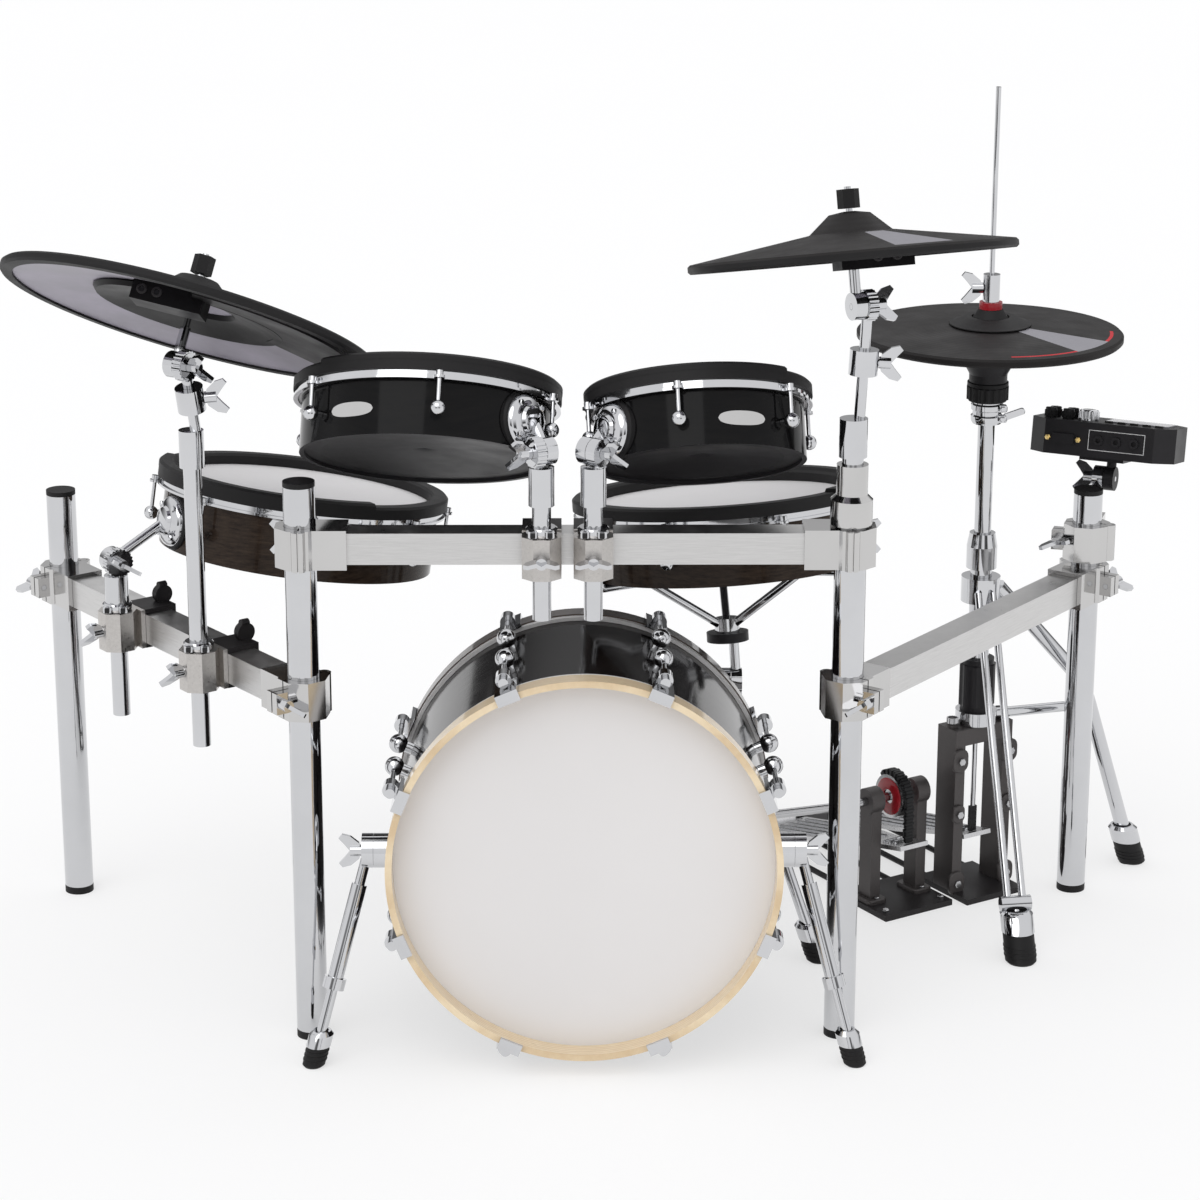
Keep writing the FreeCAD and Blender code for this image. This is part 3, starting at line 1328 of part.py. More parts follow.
left_post = size.left_post_place
left_start = axle_end + GAP * 2
left_ball = left_start + size.left_axle_length
main_right = left_post + size.bearing_width
main_left = post_half + size.bearing_width
main_base = block(main_right + main_left, size.pedal_base_depth, size.pedal_base_height,
                  at(float(main_right - main_left) / 2, float(size.pedal_base_depth) / 2))
hoop_place = at(float(size.bass_x - size.main_x), 0)
tongue_high = size.bass_lift - GAP
hoop_clamp = fuse(block(size.hoop_clamp_width, size.hoop_clamp_reach, tongue_high,
                        hoop_place * at(0, -float(size.hoop_clamp_reach) / 2)),
                  block(size.hoop_clamp_width, size.pedal_base_height, size.hoop_clamp_height,
                        hoop_place * at(0, -float(size.pedal_base_height) / 2)))
main_posts = [bearing_post(float(x)) for x in (-post_half, post_half, left_post)]
heel_pieces = [heel_plate(size.heel_setback), *tie_rods(base_rear, size.heel_setback)]
node("main_pedal_frame", [main_base, hoop_clamp, *main_posts, *heel_pieces], main_frame)
hub, shaft, felt = beater(size.main_beater_place)
node("main_axle", [fuse(axle(-axle_end, axle_end), cam(), hub, shaft), chain_wrap(), felt], main_frame)
hub, shaft, felt = beater(size.left_beater_place)
node("left_beater", [fuse(axle(left_start, left_ball), joint_ball(left_ball), hub, shaft), felt], main_frame)

slave_end = slave_frame.multVec(Vector(slave_ball, size.axle_setback, size.axle_height))
main_end = main_frame.multVec(Vector(left_ball, size.axle_setback, size.axle_height))
shaft_way = (main_end - slave_end).normalize()
AXLES["drive_shaft"] = (slave_end, shaft_way)
AXLES["left_beater"] = (main_end, X_AXIS)
cup_gap, cup_reach = float(size.cup_setback), float(size.cup_reach)
cup_pieces, cup_bores = [], []
for ball_point, way in ((slave_end, shaft_way), (main_end, shaft_way * -1)):
    cup_pieces.append(rod(ball_point + way * cup_gap, ball_point + way * cup_reach, size.joint_cup))
    cup_bores.append(sphere(size.joint_ball + GAP * 2, at(*ball_point)))
shaft_bar = rod(slave_end + shaft_way * cup_gap, main_end - shaft_way * cup_gap, size.shaft_diameter)
node("drive_shaft", [cut(fuse(shaft_bar, *cup_pieces), *cup_bores)])

# Hi-hat stand
hihat_rod_low = size.hihat_rod_low
footboard("hihat", hihat_frame, size.hihat_heel_setback, size.hihat_toe_setback, size.hihat_toe_height, NONE,
          hihat_rod_low - GAP)
frame_width = size.hihat_frame_width
base_high = size.pedal_base_height
bridge_low = size.hihat_frame_top - size.hihat_bridge
hihat_base = block(frame_width, size.pedal_base_depth, base_high)
bridge = cut(block(frame_width, size.hihat_upright_depth, size.hihat_bridge, at(0, 0, float(bridge_low))),
             cylinder(size.hihat_rod * 2, size.hihat_frame_top))
frame_pieces = [hihat_base, bridge]
for side in (-1, 1):
    upright_x = side * float(frame_width - size.hihat_upright) / 2
    frame_pieces.append(block(size.hihat_upright, size.hihat_upright_depth, bridge_low - base_high,
                              at(upright_x, 0, float(base_high))))
tube_seat = size.hihat_frame_top
sleeve = ring(size.spring_sleeve, size.hihat_tube + GAP * 2, size.spring_sleeve_length,
              at(0, 0, float(tube_seat)))
node("hihat_frame", [*frame_pieces, sleeve, heel_plate(size.hihat_heel_setback),
                     *tie_rods(size.pedal_base_depth / 2, size.hihat_heel_setback)], hihat_frame)


def on_pipe(height):
    """A place on the hi-hat's pipe axis at a height above the floor."""
    return at(float(size.hihat_x), float(size.hihat_y), float(height))


lower_bore = size.hihat_upper_tube + GAP * 2
joint_low, joint_high = -size.clamp_height / 2, size.clamp_height / 2
lower_tube = ring(size.hihat_tube, lower_bore, size.hihat_tube_joint - tube_seat, on_pipe(tube_seat))
upper_low = size.hihat_tube_joint - size.clamp_height
upper_top = size.controller_base + size.controller_seat
upper_bore = size.hihat_upper_tube - size.hihat_tube_wall * 2
upper_tube = ring(size.hihat_upper_tube, upper_bore, upper_top - upper_low, on_pipe(upper_low))
wide_wall, slim_wall = size.hihat_tube / 2, size.hihat_upper_tube / 2
wide_collar, slim_collar = wide_wall + size.clamp_wall, slim_wall + size.clamp_wall
joint_collar = lathe([(wide_wall + GAP, joint_low), (wide_collar, joint_low), (wide_collar, size.clamp_wall),
                      (slim_collar, joint_high), (slim_wall + GAP, joint_high), (slim_wall + GAP, GAP),
                      (wide_wall + GAP, GAP)], on_pipe(size.hihat_tube_joint))
memory_low = size.controller_base - size.memory_clamp_height - GAP
memory_clamp = ring(size.memory_clamp, lower_bore, size.memory_clamp_height, on_pipe(memory_low))

# Legs: two rods side by side to the front foot, one bent bar and its strut to the side foot
pipe = Vector(size.hihat_x, size.hihat_y, 0)
collar_place = on_pipe(size.leg_collar_height)
collar_middle = on_pipe(size.leg_collar_height + size.leg_collar_tall / 2).Base
leg_collar = ring(size.leg_collar, size.hihat_tube + GAP * 2, size.leg_collar_tall, collar_place)


def collar_rim(x, y):
    """The point of the leg collar's rim that faces a place on the floor."""
    way = Vector(x, y, 0) - pipe
    return collar_middle + way.normalize() * (float(size.leg_collar) / 2)


def off_collar(leg):
    """A leg without the end that lies inside the collar."""
    return cut(leg, cylinder(size.leg_collar, size.leg_collar_tall, collar_place))


front_root = collar_rim(size.front_leg_x, size.front_leg_y)
yoke, front_shoe = footed_leg(front_root, float(size.front_leg_x), float(size.front_leg_y),
                              size.hihat_leg_rod, size.hihat_foot, size.hihat_foot_length)
front_way = (front_root - yoke).normalize()
aside = front_way.cross(Z_AXIS).normalize() * float(size.hihat_leg_rod)
yoke_top = yoke + front_way * float(size.hihat_foot_length)
yoke_bar = rod(yoke_top - aside * 2, yoke_top + aside * 2, size.hihat_leg_rod * 2)
stub = rod(yoke, yoke_top, size.hihat_leg_rod)
legs = [leg_collar, fuse(stub, yoke_bar)]
for side in (-1, 1):
    leg_bar = rod(front_root + aside * side, yoke_top + aside * side, size.hihat_leg_rod)
    legs.append(off_collar(cut(leg_bar, yoke_bar)))
elbow = Vector(size.side_elbow_x, size.side_elbow_y, size.side_elbow_height)
side_root = collar_rim(size.side_elbow_x, size.side_elbow_y)
side_end, side_shoe = footed_leg(elbow, float(size.side_leg_x), float(size.side_leg_y), size.side_leg,
                                 size.hihat_foot, size.hihat_foot_length)
legs.append(off_collar(bent_rod([side_root, elbow, side_end], float(size.side_leg_bend), size.side_leg)))
feet += [front_shoe, side_shoe]
strut_root = pipe + Z_AXIS * float(size.strut_height + size.strut_collar_tall / 2)
strut_aim = elbow + (side_end - elbow) * float(size.strut_share)
strut_way = (strut_aim - strut_root).normalize()
strut_end = strut_aim - strut_way * (float(size.side_leg) / 2 + 2 * float(GAP))
strut_collar = cylinder(size.spring_sleeve + size.clamp_wall * 2, size.strut_collar_tall,
                        on_pipe(size.strut_height))
strut = cut(fuse(strut_collar, rod(strut_root, strut_end, size.strut)),
            cylinder(size.spring_sleeve + GAP * 2, size.hihat_tube_joint, on_pipe(0)),
            rod(elbow, side_end, size.side_leg + GAP * 2))
node("hihat_stand", [lower_tube, upper_tube, joint_collar, memory_clamp, *legs, strut])

rod_hole = size.hihat_rod / 2 + GAP
controller_wide, controller_slim = size.controller_diameter / 2, size.controller_neck / 2
controller_step = size.controller_base + size.controller_rise
node("hihat_controller", [lathe([
    (slim_wall + GAP, size.controller_base), (controller_slim, size.controller_base),
    (controller_slim, controller_step), (controller_wide, size.controller_top - size.clamp_wall),
    (controller_wide, size.controller_top), (rod_hole, size.controller_top), (rod_hole, upper_top + GAP),
    (slim_wall + GAP, upper_top + GAP)], on_pipe(0))])

hihat_radius = size.hihat_diameter / 2
hat_low = size.hihat_height
hat_edge = hat_low + size.pad_edge
hat_crown = hat_edge + size.hihat_crown
hat_bell = hat_crown + size.hihat_crown
hat_bevel = size.pad_bevel
pad = lathe([(rod_hole, hat_low), (hihat_radius - size.pad_lip, hat_low + hat_bevel),
             (hihat_radius - size.pad_lip, hat_low), (hihat_radius - hat_bevel, hat_low),
             (hihat_radius, hat_low + hat_bevel), (hihat_radius, hat_edge - hat_bevel),
             (hihat_radius - hat_bevel, hat_edge), (size.bell_diameter / 2, hat_crown),
             (size.hihat_bell_top / 2, hat_bell), (rod_hole, hat_bell)], on_pipe(0))
cone_top = hat_bell + size.hihat_cone_height
cone = lathe([(rod_hole, hat_bell + GAP), (size.hihat_cone / 2, hat_bell + GAP),
              (size.hihat_cone_top / 2, cone_top), (rod_hole, cone_top)], on_pipe(0))
lock_nut = ring(size.lock_nut, rod_hole * 2, size.lock_nut_height, on_pipe(cone_top + GAP))
node("hihat_pad", [pad, cone, lock_nut])
clutch_low = cone_top + size.lock_nut_height + GAP * 2
clutch_tip = (on_pipe(clutch_low + size.clutch_height / 2) * at(-float(rod_hole + GAP))).Base
clutch = cut(ring(size.clutch, rod_hole * 2, size.clutch_height, on_pipe(clutch_low)),
             rod(clutch_tip, clutch_tip - X_AXIS * float(size.clutch), size.wing_shank + GAP * 2))
pull_rod = cylinder(size.hihat_rod, size.hihat_rod_top - hihat_rod_low, on_pipe(hihat_rod_low))
clutch_wing = wing_screw(clutch_tip, X_AXIS * -1, size.clutch / 2 - rod_hole)
node("hihat_rod", [pull_rod, clutch, clutch_wing])

# Sound module on its ratchet mount
module_spin = Rotation(Z_AXIS, float(size.module_yaw)).multiply(Rotation(X_AXIS, -float(size.module_lean)))
module_place = back_right + Vector(size.module_aside, size.module_behind, size.module_low)
module_frame = Placement(module_place, module_spin)
half_wide, half_deep, chamfer = size.module_width / 2, size.module_depth / 2, size.module_chamfer
right_side = [(half_wide - chamfer, -half_deep), (half_wide, -half_deep + chamfer),
              (half_wide, half_deep - chamfer), (half_wide - chamfer, half_deep)]
case = plate(right_side + [(-x, y) for x, y in reversed(right_side)], size.module_height)
module_top = size.module_height
KNOB_COLUMNS, KNOB_ROWS = 3, 2
# The column and row where the dial takes a knob's place
DIAL_SPOT = (2, 0)
module_pieces = [case]


def knob_spot(column, line):
    """A place on the module's top, counted from its front left corner."""
    pitch = size.module_knob_pitch
    return at(float(-half_wide + chamfer + pitch * column), float(-half_deep + chamfer + pitch * line),
              float(module_top))


for column in range(KNOB_COLUMNS):
    for line in range(KNOB_ROWS):
        if (column, line) == DIAL_SPOT:
            continue
        module_pieces.append(cylinder(size.module_knob, size.module_knob_height, knob_spot(column, line)))
dial_place = knob_spot(*DIAL_SPOT) * at(float(size.module_dial_aside), 0, float(GAP))
DIALS = {"module_dial": (module_frame.multVec(dial_place.Base), module_spin.multVec(Z_AXIS))}
node("module_dial", [cylinder(size.module_dial, size.module_dial_height, dial_place)], module_frame)
face_out = turned_by(X_AXIS, 90)
JACKS = 3
for index in range(JACKS):
    jack_place = at(index * float(size.jack_pitch), -float(half_deep), float(module_top) / 2) * face_out
    module_pieces.append(ring(size.jack, size.jack_bore, size.jack_height, jack_place))
plug_place = at(float(size.connector_x), -float(half_deep + size.jack_height / 2), float(size.connector_rise))
module_pieces.append(block(size.connector, size.jack_height, size.jack, plug_place))
module_axis = module_spin.multVec(X_AXIS)
module_pivot = module_frame.multVec(Vector(0, 0, -float(size.module_stand)))
TILTS["module"] = (module_pivot, module_axis)
bed = block(size.mount_plate, size.mount_plate, size.bracket_wall, at(0, 0, -float(size.bracket_wall)))
disc, neck, bore = knuckle(Vector(0, 0, -float(size.module_stand)), X_AXIS,
                           Vector(0, 0, -float(size.bracket_wall) / 2))
module_pieces.append(cut(fuse(bed, disc, neck), bore))
node("module_case", module_pieces, module_frame)

mount_way = Rotation(Z_AXIS, float(size.module_clamp_turn)).multVec(X_AXIS)
clamps += post_clamp(back_right, mount_way, size.module_clamp_height, "rod")
holder = back_right + mount_way * float(size.clamp_across / 2 + size.module_rod)
rod_low = holder + Z_AXIS * float(size.module_clamp_height - size.clamp_height)
rod_bend = holder + Z_AXIS * float(size.module_clamp_height + size.clamp_height)
disc, neck, bore = knuckle(module_pivot, module_axis * -1, rod_bend)
bent = bent_rod([rod_low, rod_bend, module_pivot - module_axis * half_offset()], float(size.module_rod),
                size.module_rod)
node("module_mount", [cut(fuse(bent, disc), bore), tilter_bolt(module_pivot, module_axis)])

node("rail_clamps", clamps)
node("wing_screws", wings)
node("rubber_feet", feet)

# The kit's origin goes under its middle, on the floor
doc.recompute()
whole = FreeCAD.BoundBox()
for item in nodes.values():
    whole.add(item.Shape.optimalBoundingBox())
shift = Vector(-whole.Center.x, -whole.Center.y, -whole.ZMin)
for item in nodes.values():
    item.Placement = Placement(shift, Rotation()) * item.Placement
doc.recompute()

for item in doc.Objects:
    if {"Invalid", "Error"} & set(item.State):
        raise RuntimeError(f"{item.Label} did not build")
for label, item in nodes.items():
    if item.Shape.isNull() or not item.Shape.isValid() or len(item.Shape.Solids) != len(item.Links):
        raise RuntimeError(f"{label} is not a sound set of {len(item.Links)} solids")

os.makedirs("parts", exist_ok=True)
for label, item in nodes.items():
    item.Shape.exportStep(f"parts/{label}.step")
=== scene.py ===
import json
import math

import bmesh
import bpy
from mathutils import Matrix, Vector


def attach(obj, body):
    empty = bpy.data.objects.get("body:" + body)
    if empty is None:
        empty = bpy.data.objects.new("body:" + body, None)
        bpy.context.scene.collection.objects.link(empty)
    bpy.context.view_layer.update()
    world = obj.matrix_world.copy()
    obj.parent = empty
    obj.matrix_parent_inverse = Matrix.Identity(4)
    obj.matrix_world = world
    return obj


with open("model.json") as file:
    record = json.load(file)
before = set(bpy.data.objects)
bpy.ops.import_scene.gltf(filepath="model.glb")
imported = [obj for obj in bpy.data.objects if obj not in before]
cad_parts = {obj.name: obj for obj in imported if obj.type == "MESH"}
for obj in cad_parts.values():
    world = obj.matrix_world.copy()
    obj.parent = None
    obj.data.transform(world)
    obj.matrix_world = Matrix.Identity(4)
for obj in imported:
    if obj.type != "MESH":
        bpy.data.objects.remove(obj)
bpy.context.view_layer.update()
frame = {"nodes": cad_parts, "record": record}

# Electronic drum kit on a chrome rack. Lengths are in metres. Places are given from the point on the floor
# midway between the two front posts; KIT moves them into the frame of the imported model.
FRONT_POST_X = 0.324
foot = frame["record"]["mounts"][0]["pos_m"]
KIT = Vector((foot[0] + FRONT_POST_X, foot[1], 0.0))
NODES = frame["nodes"]


def kit(x, y, z):
    return Vector((x, y, z)) + KIT


def leaning(x, y, z, lean, roll):
    """The frame of a drum or cymbal that leans back towards the drummer and rolls to the right."""
    turn = Matrix.Rotation(math.radians(roll), 4, "Y") @ Matrix.Rotation(math.radians(-lean), 4, "X")
    return Matrix.Translation(kit(x, y, z)) @ turn


UP = Vector((0, 0, 1))
SIDES = (-1, 1)

# Place of each drum's rim, with its rim radius and shell depth
DRUMS = {
    "left_tom": (leaning(-0.175, 0.093, 0.789, 26, 3), 0.1595, 0.074),
    "right_tom": (leaning(0.145, 0.066, 0.789, 26, -3), 0.135, 0.074),
    "floor_tom": (leaning(-0.351, 0.400, 0.592, 6.6, 8), 0.1875, 0.084),
    "snare": (leaning(0.183, 0.340, 0.595, 8, -4), 0.1875, 0.084),
}
# How far the rim stands out past the shell, and how far the rim's place lies above the shell's top
RIM_OVERHANG, RIM_ABOVE_SHELL = 0.011, 0.008
RIDE = leaning(-0.450, 0.125, 0.905, 23, 16)
CRASH = leaning(0.316, 0.016, 1.003, 12, -5)
PAD_RADIUS = {"ride": 0.2285, "crash": 0.1905, "hihat": 0.173}
HIHAT = Matrix.Translation(kit(0.540, 0.480, 0.0))
PEDAL_TURN = Matrix.Rotation(math.radians(32), 4, "Z")
STAND = HIHAT @ PEDAL_TURN
SLAVE = Matrix.Translation(kit(0.461, 0.381, 0.0)) @ PEDAL_TURN
MAIN = Matrix.Translation(kit(-0.050, 0.234, 0.0))
MODULE = (Matrix.Translation(kit(0.711, 0.543, 0.592)) @ Matrix.Rotation(math.radians(-24), 4, "Z")
          @ Matrix.Rotation(math.radians(-10), 4, "X"))
JOINTS = {joint["name"]: joint for joint in frame["record"]["behaviour"]["joints"]}


class Shader:
    """A procedural material in the making: a principled surface and the nodes that feed it."""

    def __init__(self, name, colour, rough, metallic=0.0, coat=0.0, sheen=0.5):
        self.material = bpy.data.materials.new(name)
        self.material.use_nodes = True
        self.tree = self.material.node_tree
        self.surface = self.tree.nodes["Principled BSDF"]
        self.colour = colour
        self.surface.inputs["Base Color"].default_value = (*colour, 1.0)
        self.surface.inputs["Roughness"].default_value = rough
        self.surface.inputs["Metallic"].default_value = metallic
        self.surface.inputs["Specular IOR Level"].default_value = sheen
        self.surface.inputs["Coat Weight"].default_value = coat
        self.surface.inputs["Coat Roughness"].default_value = 0.04
        self.material.diffuse_color = (*colour, 1.0)
        self.place = self.add("ShaderNodeTexCoord").outputs["Object"]

    def add(self, kind, **values):
        item = self.tree.nodes.new(kind)
        for name, value in values.items():
            setattr(item, name, value)
        return item

    def link(self, source, target):
        self.tree.links.new(source, target)

    def mapped(self, frame_matrix=None, scale=(1, 1, 1)):
        """The object's coordinates seen from a frame, stretched by a scale."""
        source = self.place
        if frame_matrix is not None:
            where, turn, _ = frame_matrix.inverted().decompose()
            first = self.add("ShaderNodeMapping", vector_type="POINT")
            first.inputs["Location"].default_value = where
            first.inputs["Rotation"].default_value = turn.to_euler()
            self.link(source, first.inputs["Vector"])
            source = first.outputs["Vector"]
        second = self.add("ShaderNodeMapping", vector_type="POINT")
        second.inputs["Scale"].default_value = scale
        self.link(source, second.inputs["Vector"])
        return second.outputs["Vector"]

    def noise(self, scale, detail=4.0, rough=0.55, vector=None):
        item = self.add("ShaderNodeTexNoise")
        item.inputs["Scale"].default_value = scale
        item.inputs["Detail"].default_value = detail
        item.inputs["Roughness"].default_value = rough
        self.link(vector or self.place, item.inputs["Vector"])
        return item.outputs["Fac"]

    def spread(self, value, low, high, from_low=0.3, from_high=0.7):
        item = self.add("ShaderNodeMapRange")
        for name, number in (("From Min", from_low), ("From Max", from_high), ("To Min", low), ("To Max", high)):
            item.inputs[name].default_value = number
        self.link(value, item.inputs["Value"])
        return item.outputs["Result"]

    def math(self, operation, first, second=None):
        item = self.add("ShaderNodeMath", operation=operation)
        for index, value in enumerate((first, second)):
            if isinstance(value, (int, float)):
                item.inputs[index].default_value = value
            elif value is not None:
                self.link(value, item.inputs[index])
        return item.outputs["Value"]

    def between(self, value, low, high):
        """One where value lies between two limits, and zero elsewhere."""
        return self.math("MULTIPLY", self.math("GREATER_THAN", value, low), self.math("LESS_THAN", value, high))

    def mix(self, factor, first, second):
        item = self.add("ShaderNodeMix", data_type="RGBA")
        self.link(factor, item.inputs["Factor"])
        for name, value in (("A", first), ("B", second)):
            socket = next(s for s in item.inputs if s.name == name and s.type == "RGBA")
            if isinstance(value, tuple):
                socket.default_value = (*value, 1.0)
            else:
                self.link(value, socket)
        return next(s for s in item.outputs if s.type == "RGBA")

    def tint(self, value, change):
        """The base colour, made darker and lighter by a value."""
        dark = tuple(channel * (1 - change) for channel in self.colour)
        light = tuple(min(1.0, channel * (1 + change)) for channel in self.colour)
        self.paint(self.mix(self.spread(value, 0.0, 1.0), dark, light))

    def paint(self, colour):
        self.link(colour, self.surface.inputs["Base Color"])

    def rough(self, value, low, high):
        self.link(self.spread(value, low, high), self.surface.inputs["Roughness"])

    def bump(self, height, strength, distance):
        item = self.add("ShaderNodeBump")
        item.inputs["Strength"].default_value = strength
        item.inputs["Distance"].default_value = distance
        self.link(height, item.inputs["Height"])
        self.link(item.outputs["Normal"], self.surface.inputs["Normal"])


def chrome(name, colour=(0.60, 0.605, 0.62), rough=(0.03, 0.08)):
    shader = Shader(name, colour, rough[0], metallic=1.0)
    smear = shader.noise(9.0, 6.0)
    shader.tint(smear, 0.04)
    shader.rough(smear, *rough)
    shader.bump(shader.noise(420.0, 2.0), 0.02, 0.0004)
    return shader.material


def satin(name, colour, rough, scale, metallic=1.0):
    """Brushed or bead-blasted metal: fine streaks along one way."""
    shader = Shader(name, colour, rough, metallic=metallic)
    streaks = shader.noise(90.0, 5.0, 0.6, shader.mapped(scale=scale))
    shader.tint(streaks, 0.10)
    shader.rough(streaks, rough - 0.07, rough + 0.08)
    shader.bump(streaks, 0.10, 0.0004)
    return shader.material


def moulded(name, colour, rough, grain, depth, coat=0.0, sheen=0.22):
    """Rubber or plastic with a fine moulded grain."""
    shader = Shader(name, colour, rough, coat=coat, sheen=sheen)
    wear = shader.noise(14.0, 5.0)
    shader.tint(wear, 0.22)
    shader.rough(wear, rough - 0.08, rough + 0.08)
    shader.bump(shader.noise(grain, 3.0, 0.7), depth, 0.0006)
    return shader.material


def lacquer(name, colour, vein, scale):
    """Gloss lacquer over a dark veneer."""
    shader = Shader(name, colour, 0.16, sheen=0.10, coat=0.03)
    grain = shader.noise(26.0, 8.0, 0.65, shader.mapped(scale=scale))
    shader.paint(shader.mix(shader.spread(grain, 0.0, 1.0, 0.35, 0.75), colour, vein))
    shader.rough(grain, 0.06, 0.14)
    shader.bump(shader.noise(6.0, 2.0), 0.02, 0.001)
    return shader.material


def maple(name, light, dark):
    shader = Shader(name, light, 0.3, coat=0.6)
    ply = shader.add("ShaderNodeTexWave", wave_type="BANDS", bands_direction="Y")
    ply.inputs["Scale"].default_value = 60.0
    ply.inputs["Distortion"].default_value = 1.2
    ply.inputs["Detail"].default_value = 3.0
    shader.link(shader.place, ply.inputs["Vector"])
    grain = shader.noise(38.0, 8.0, 0.7, shader.mapped(scale=(1.0, 5.0, 1.0)))
    tone = shader.math("ADD", shader.math("MULTIPLY", ply.outputs["Fac"], 0.35), shader.math("MULTIPLY", grain, 0.65))
    shader.paint(shader.mix(shader.spread(tone, 0.0, 1.0), light, dark))
    shader.rough(grain, 0.25, 0.4)
    shader.bump(grain, 0.05, 0.0005)
    return shader.material


def mesh_head(name, frame_matrix, colour):
    """White woven head: two crossed sets of fine threads."""
    shader = Shader(name, colour, 0.55)
    threads = []
    for way in ("X", "Y"):
        wave = shader.add("ShaderNodeTexWave", wave_type="BANDS", bands_direction=way)
        wave.inputs["Scale"].default_value = 420.0
        shader.link(shader.mapped(frame_matrix), wave.inputs["Vector"])
        threads.append(wave.outputs["Fac"])
    weave = shader.math("MULTIPLY", *threads)
    haze = shader.noise(7.0, 4.0)
    shader.tint(shader.math("ADD", shader.math("MULTIPLY", weave, 0.25), shader.math("MULTIPLY", haze, 0.75)), 0.03)
    shader.bump(weave, 0.12, 0.0004)
    return shader.material


def coated_head(name, colour):
    shader = Shader(name, colour, 0.42)
    coat = shader.noise(800.0, 2.0)
    shader.tint(shader.noise(3.0, 3.0), 0.02)
    shader.rough(coat, 0.36, 0.5)
    shader.bump(coat, 0.06, 0.0003)
    return shader.material


# Shares of a pad's radius between which its grey wedge and its red arc lie
WEDGE_REACH, ARC_REACH = (0.30, 0.92), (0.895, 0.920)
GROOVES_PER_METRE = 900.0


def wedge_pad(name, frame_matrix, wedge_angle, wedge_half, radius, line=None):
    """Black rubber pad top with a grey wedge, and a red arc near its edge where line gives its two angles."""
    black, grey, red = (0.012, 0.0105, 0.0105), (0.27, 0.265, 0.29), (0.50, 0.02, 0.03)
    shader = Shader(name, black, 0.5, sheen=0.2)
    split = shader.add("ShaderNodeSeparateXYZ")
    shader.link(shader.mapped(frame_matrix), split.inputs["Vector"])
    x, y = split.outputs["X"], split.outputs["Y"]
    turn = shader.math("ARCTAN2", y, x)
    reach = shader.math("SQRT", shader.math("ADD", shader.math("MULTIPLY", x, x), shader.math("MULTIPLY", y, y)))
    angle, half = math.radians(wedge_angle), math.radians(wedge_half)
    wedge = shader.math("MULTIPLY", shader.between(turn, angle - half, angle + half),
                        shader.between(reach, *(radius * share for share in WEDGE_REACH)))
    colour = black
    if line:
        arc = shader.math("MULTIPLY", shader.between(turn, *(math.radians(end) for end in line)),
                          shader.between(reach, *(radius * share for share in ARC_REACH)))
        colour = shader.mix(arc, black, red)
    shader.paint(shader.mix(wedge, colour, grey))
    grooves = shader.math("SINE", shader.math("MULTIPLY", reach, GROOVES_PER_METRE))
    shader.rough(shader.noise(20.0, 5.0), 0.42, 0.6)
    shader.bump(grooves, 0.10, 0.0005)
    return shader.material


CHROME = chrome("chrome_plate")
NICKEL = chrome("polished_casting", (0.57, 0.565, 0.56), (0.07, 0.15))
STEEL = chrome("turned_steel", (0.50, 0.50, 0.51), (0.14, 0.24))
RAIL = satin("anodised_rail", (0.63, 0.625, 0.62), 0.34, (0.4, 0.4, 14))
CAST = satin("cast_clamp", (0.55, 0.53, 0.51), 0.33, (3, 3, 3))
BOARD = satin("brushed_footboard", (0.60, 0.60, 0.61), 0.30, (8, 1, 1))
DARK_CAST = satin("dark_casting", (0.075, 0.068, 0.067), 0.44, (4, 4, 4), 0.4)
RUBBER = moulded("black_rubber", (0.012, 0.0115, 0.012), 0.55, 900.0, 0.16)
PLASTIC = moulded("black_plastic", (0.017, 0.016, 0.018), 0.42, 1400.0, 0.08)
COAT = moulded("black_powder_coat", (0.022, 0.020, 0.021), 0.46, 700.0, 0.14)
GLOSS = moulded("black_gloss_plastic", (0.008, 0.008, 0.009), 0.20, 300.0, 0.02, 0.2)
HUB = moulded("black_hub", (0.006, 0.0055, 0.006), 0.38, 900.0, 0.06, sheen=0.08)
UNDERSIDE = moulded("grey_pad_underside", (0.33, 0.31, 0.36), 0.42, 260.0, 0.10)
SCREEN = moulded("grey_display", (0.20, 0.20, 0.22), 0.20, 200.0, 0.02, 0.3)
MARK = moulded("white_mark", (0.70, 0.70, 0.70), 0.50, 900.0, 0.05)
WHITE_FELT = moulded("white_beater_felt", (0.78, 0.77, 0.74), 0.85, 1500.0, 0.5)
CHAIN = moulded("black_chain", (0.012, 0.012, 0.013), 0.35, 500.0, 0.1)
RED = moulded("red_anodised", (0.33, 0.012, 0.02), 0.30, 400.0, 0.05, 0.4)
GOLD = chrome("gold_screws", (0.83, 0.62, 0.26), (0.12, 0.22))
TOM_LACQUER = lacquer("black_gloss_lacquer", (0.004, 0.004, 0.0045), (0.007, 0.0065, 0.0065), (1, 1, 6))
BRONZE_LACQUER = lacquer("bronze_gloss_lacquer", (0.022, 0.015, 0.012), (0.060, 0.042, 0.030), (2, 2, 12))
BASS_LACQUER = lacquer("dark_gloss_lacquer", (0.005, 0.0042, 0.0045), (0.012, 0.009, 0.0085), (1, 9, 1))
FRONT_MAPLE = maple("clear_maple", (0.80, 0.66, 0.45), (0.64, 0.48, 0.29))
REAR_WOOD = maple("dark_hoop", (0.075, 0.05, 0.038), (0.04, 0.026, 0.02))
BASS_HEAD = coated_head("white_bass_head", (0.73, 0.715, 0.71))
HIHAT_TOP = wedge_pad("hihat_rubber", HIHAT, -39, 13.5, PAD_RADIUS["hihat"], (-87, -3))
CRASH_TOP = wedge_pad("crash_rubber", CRASH, -66, 12, PAD_RADIUS["crash"])


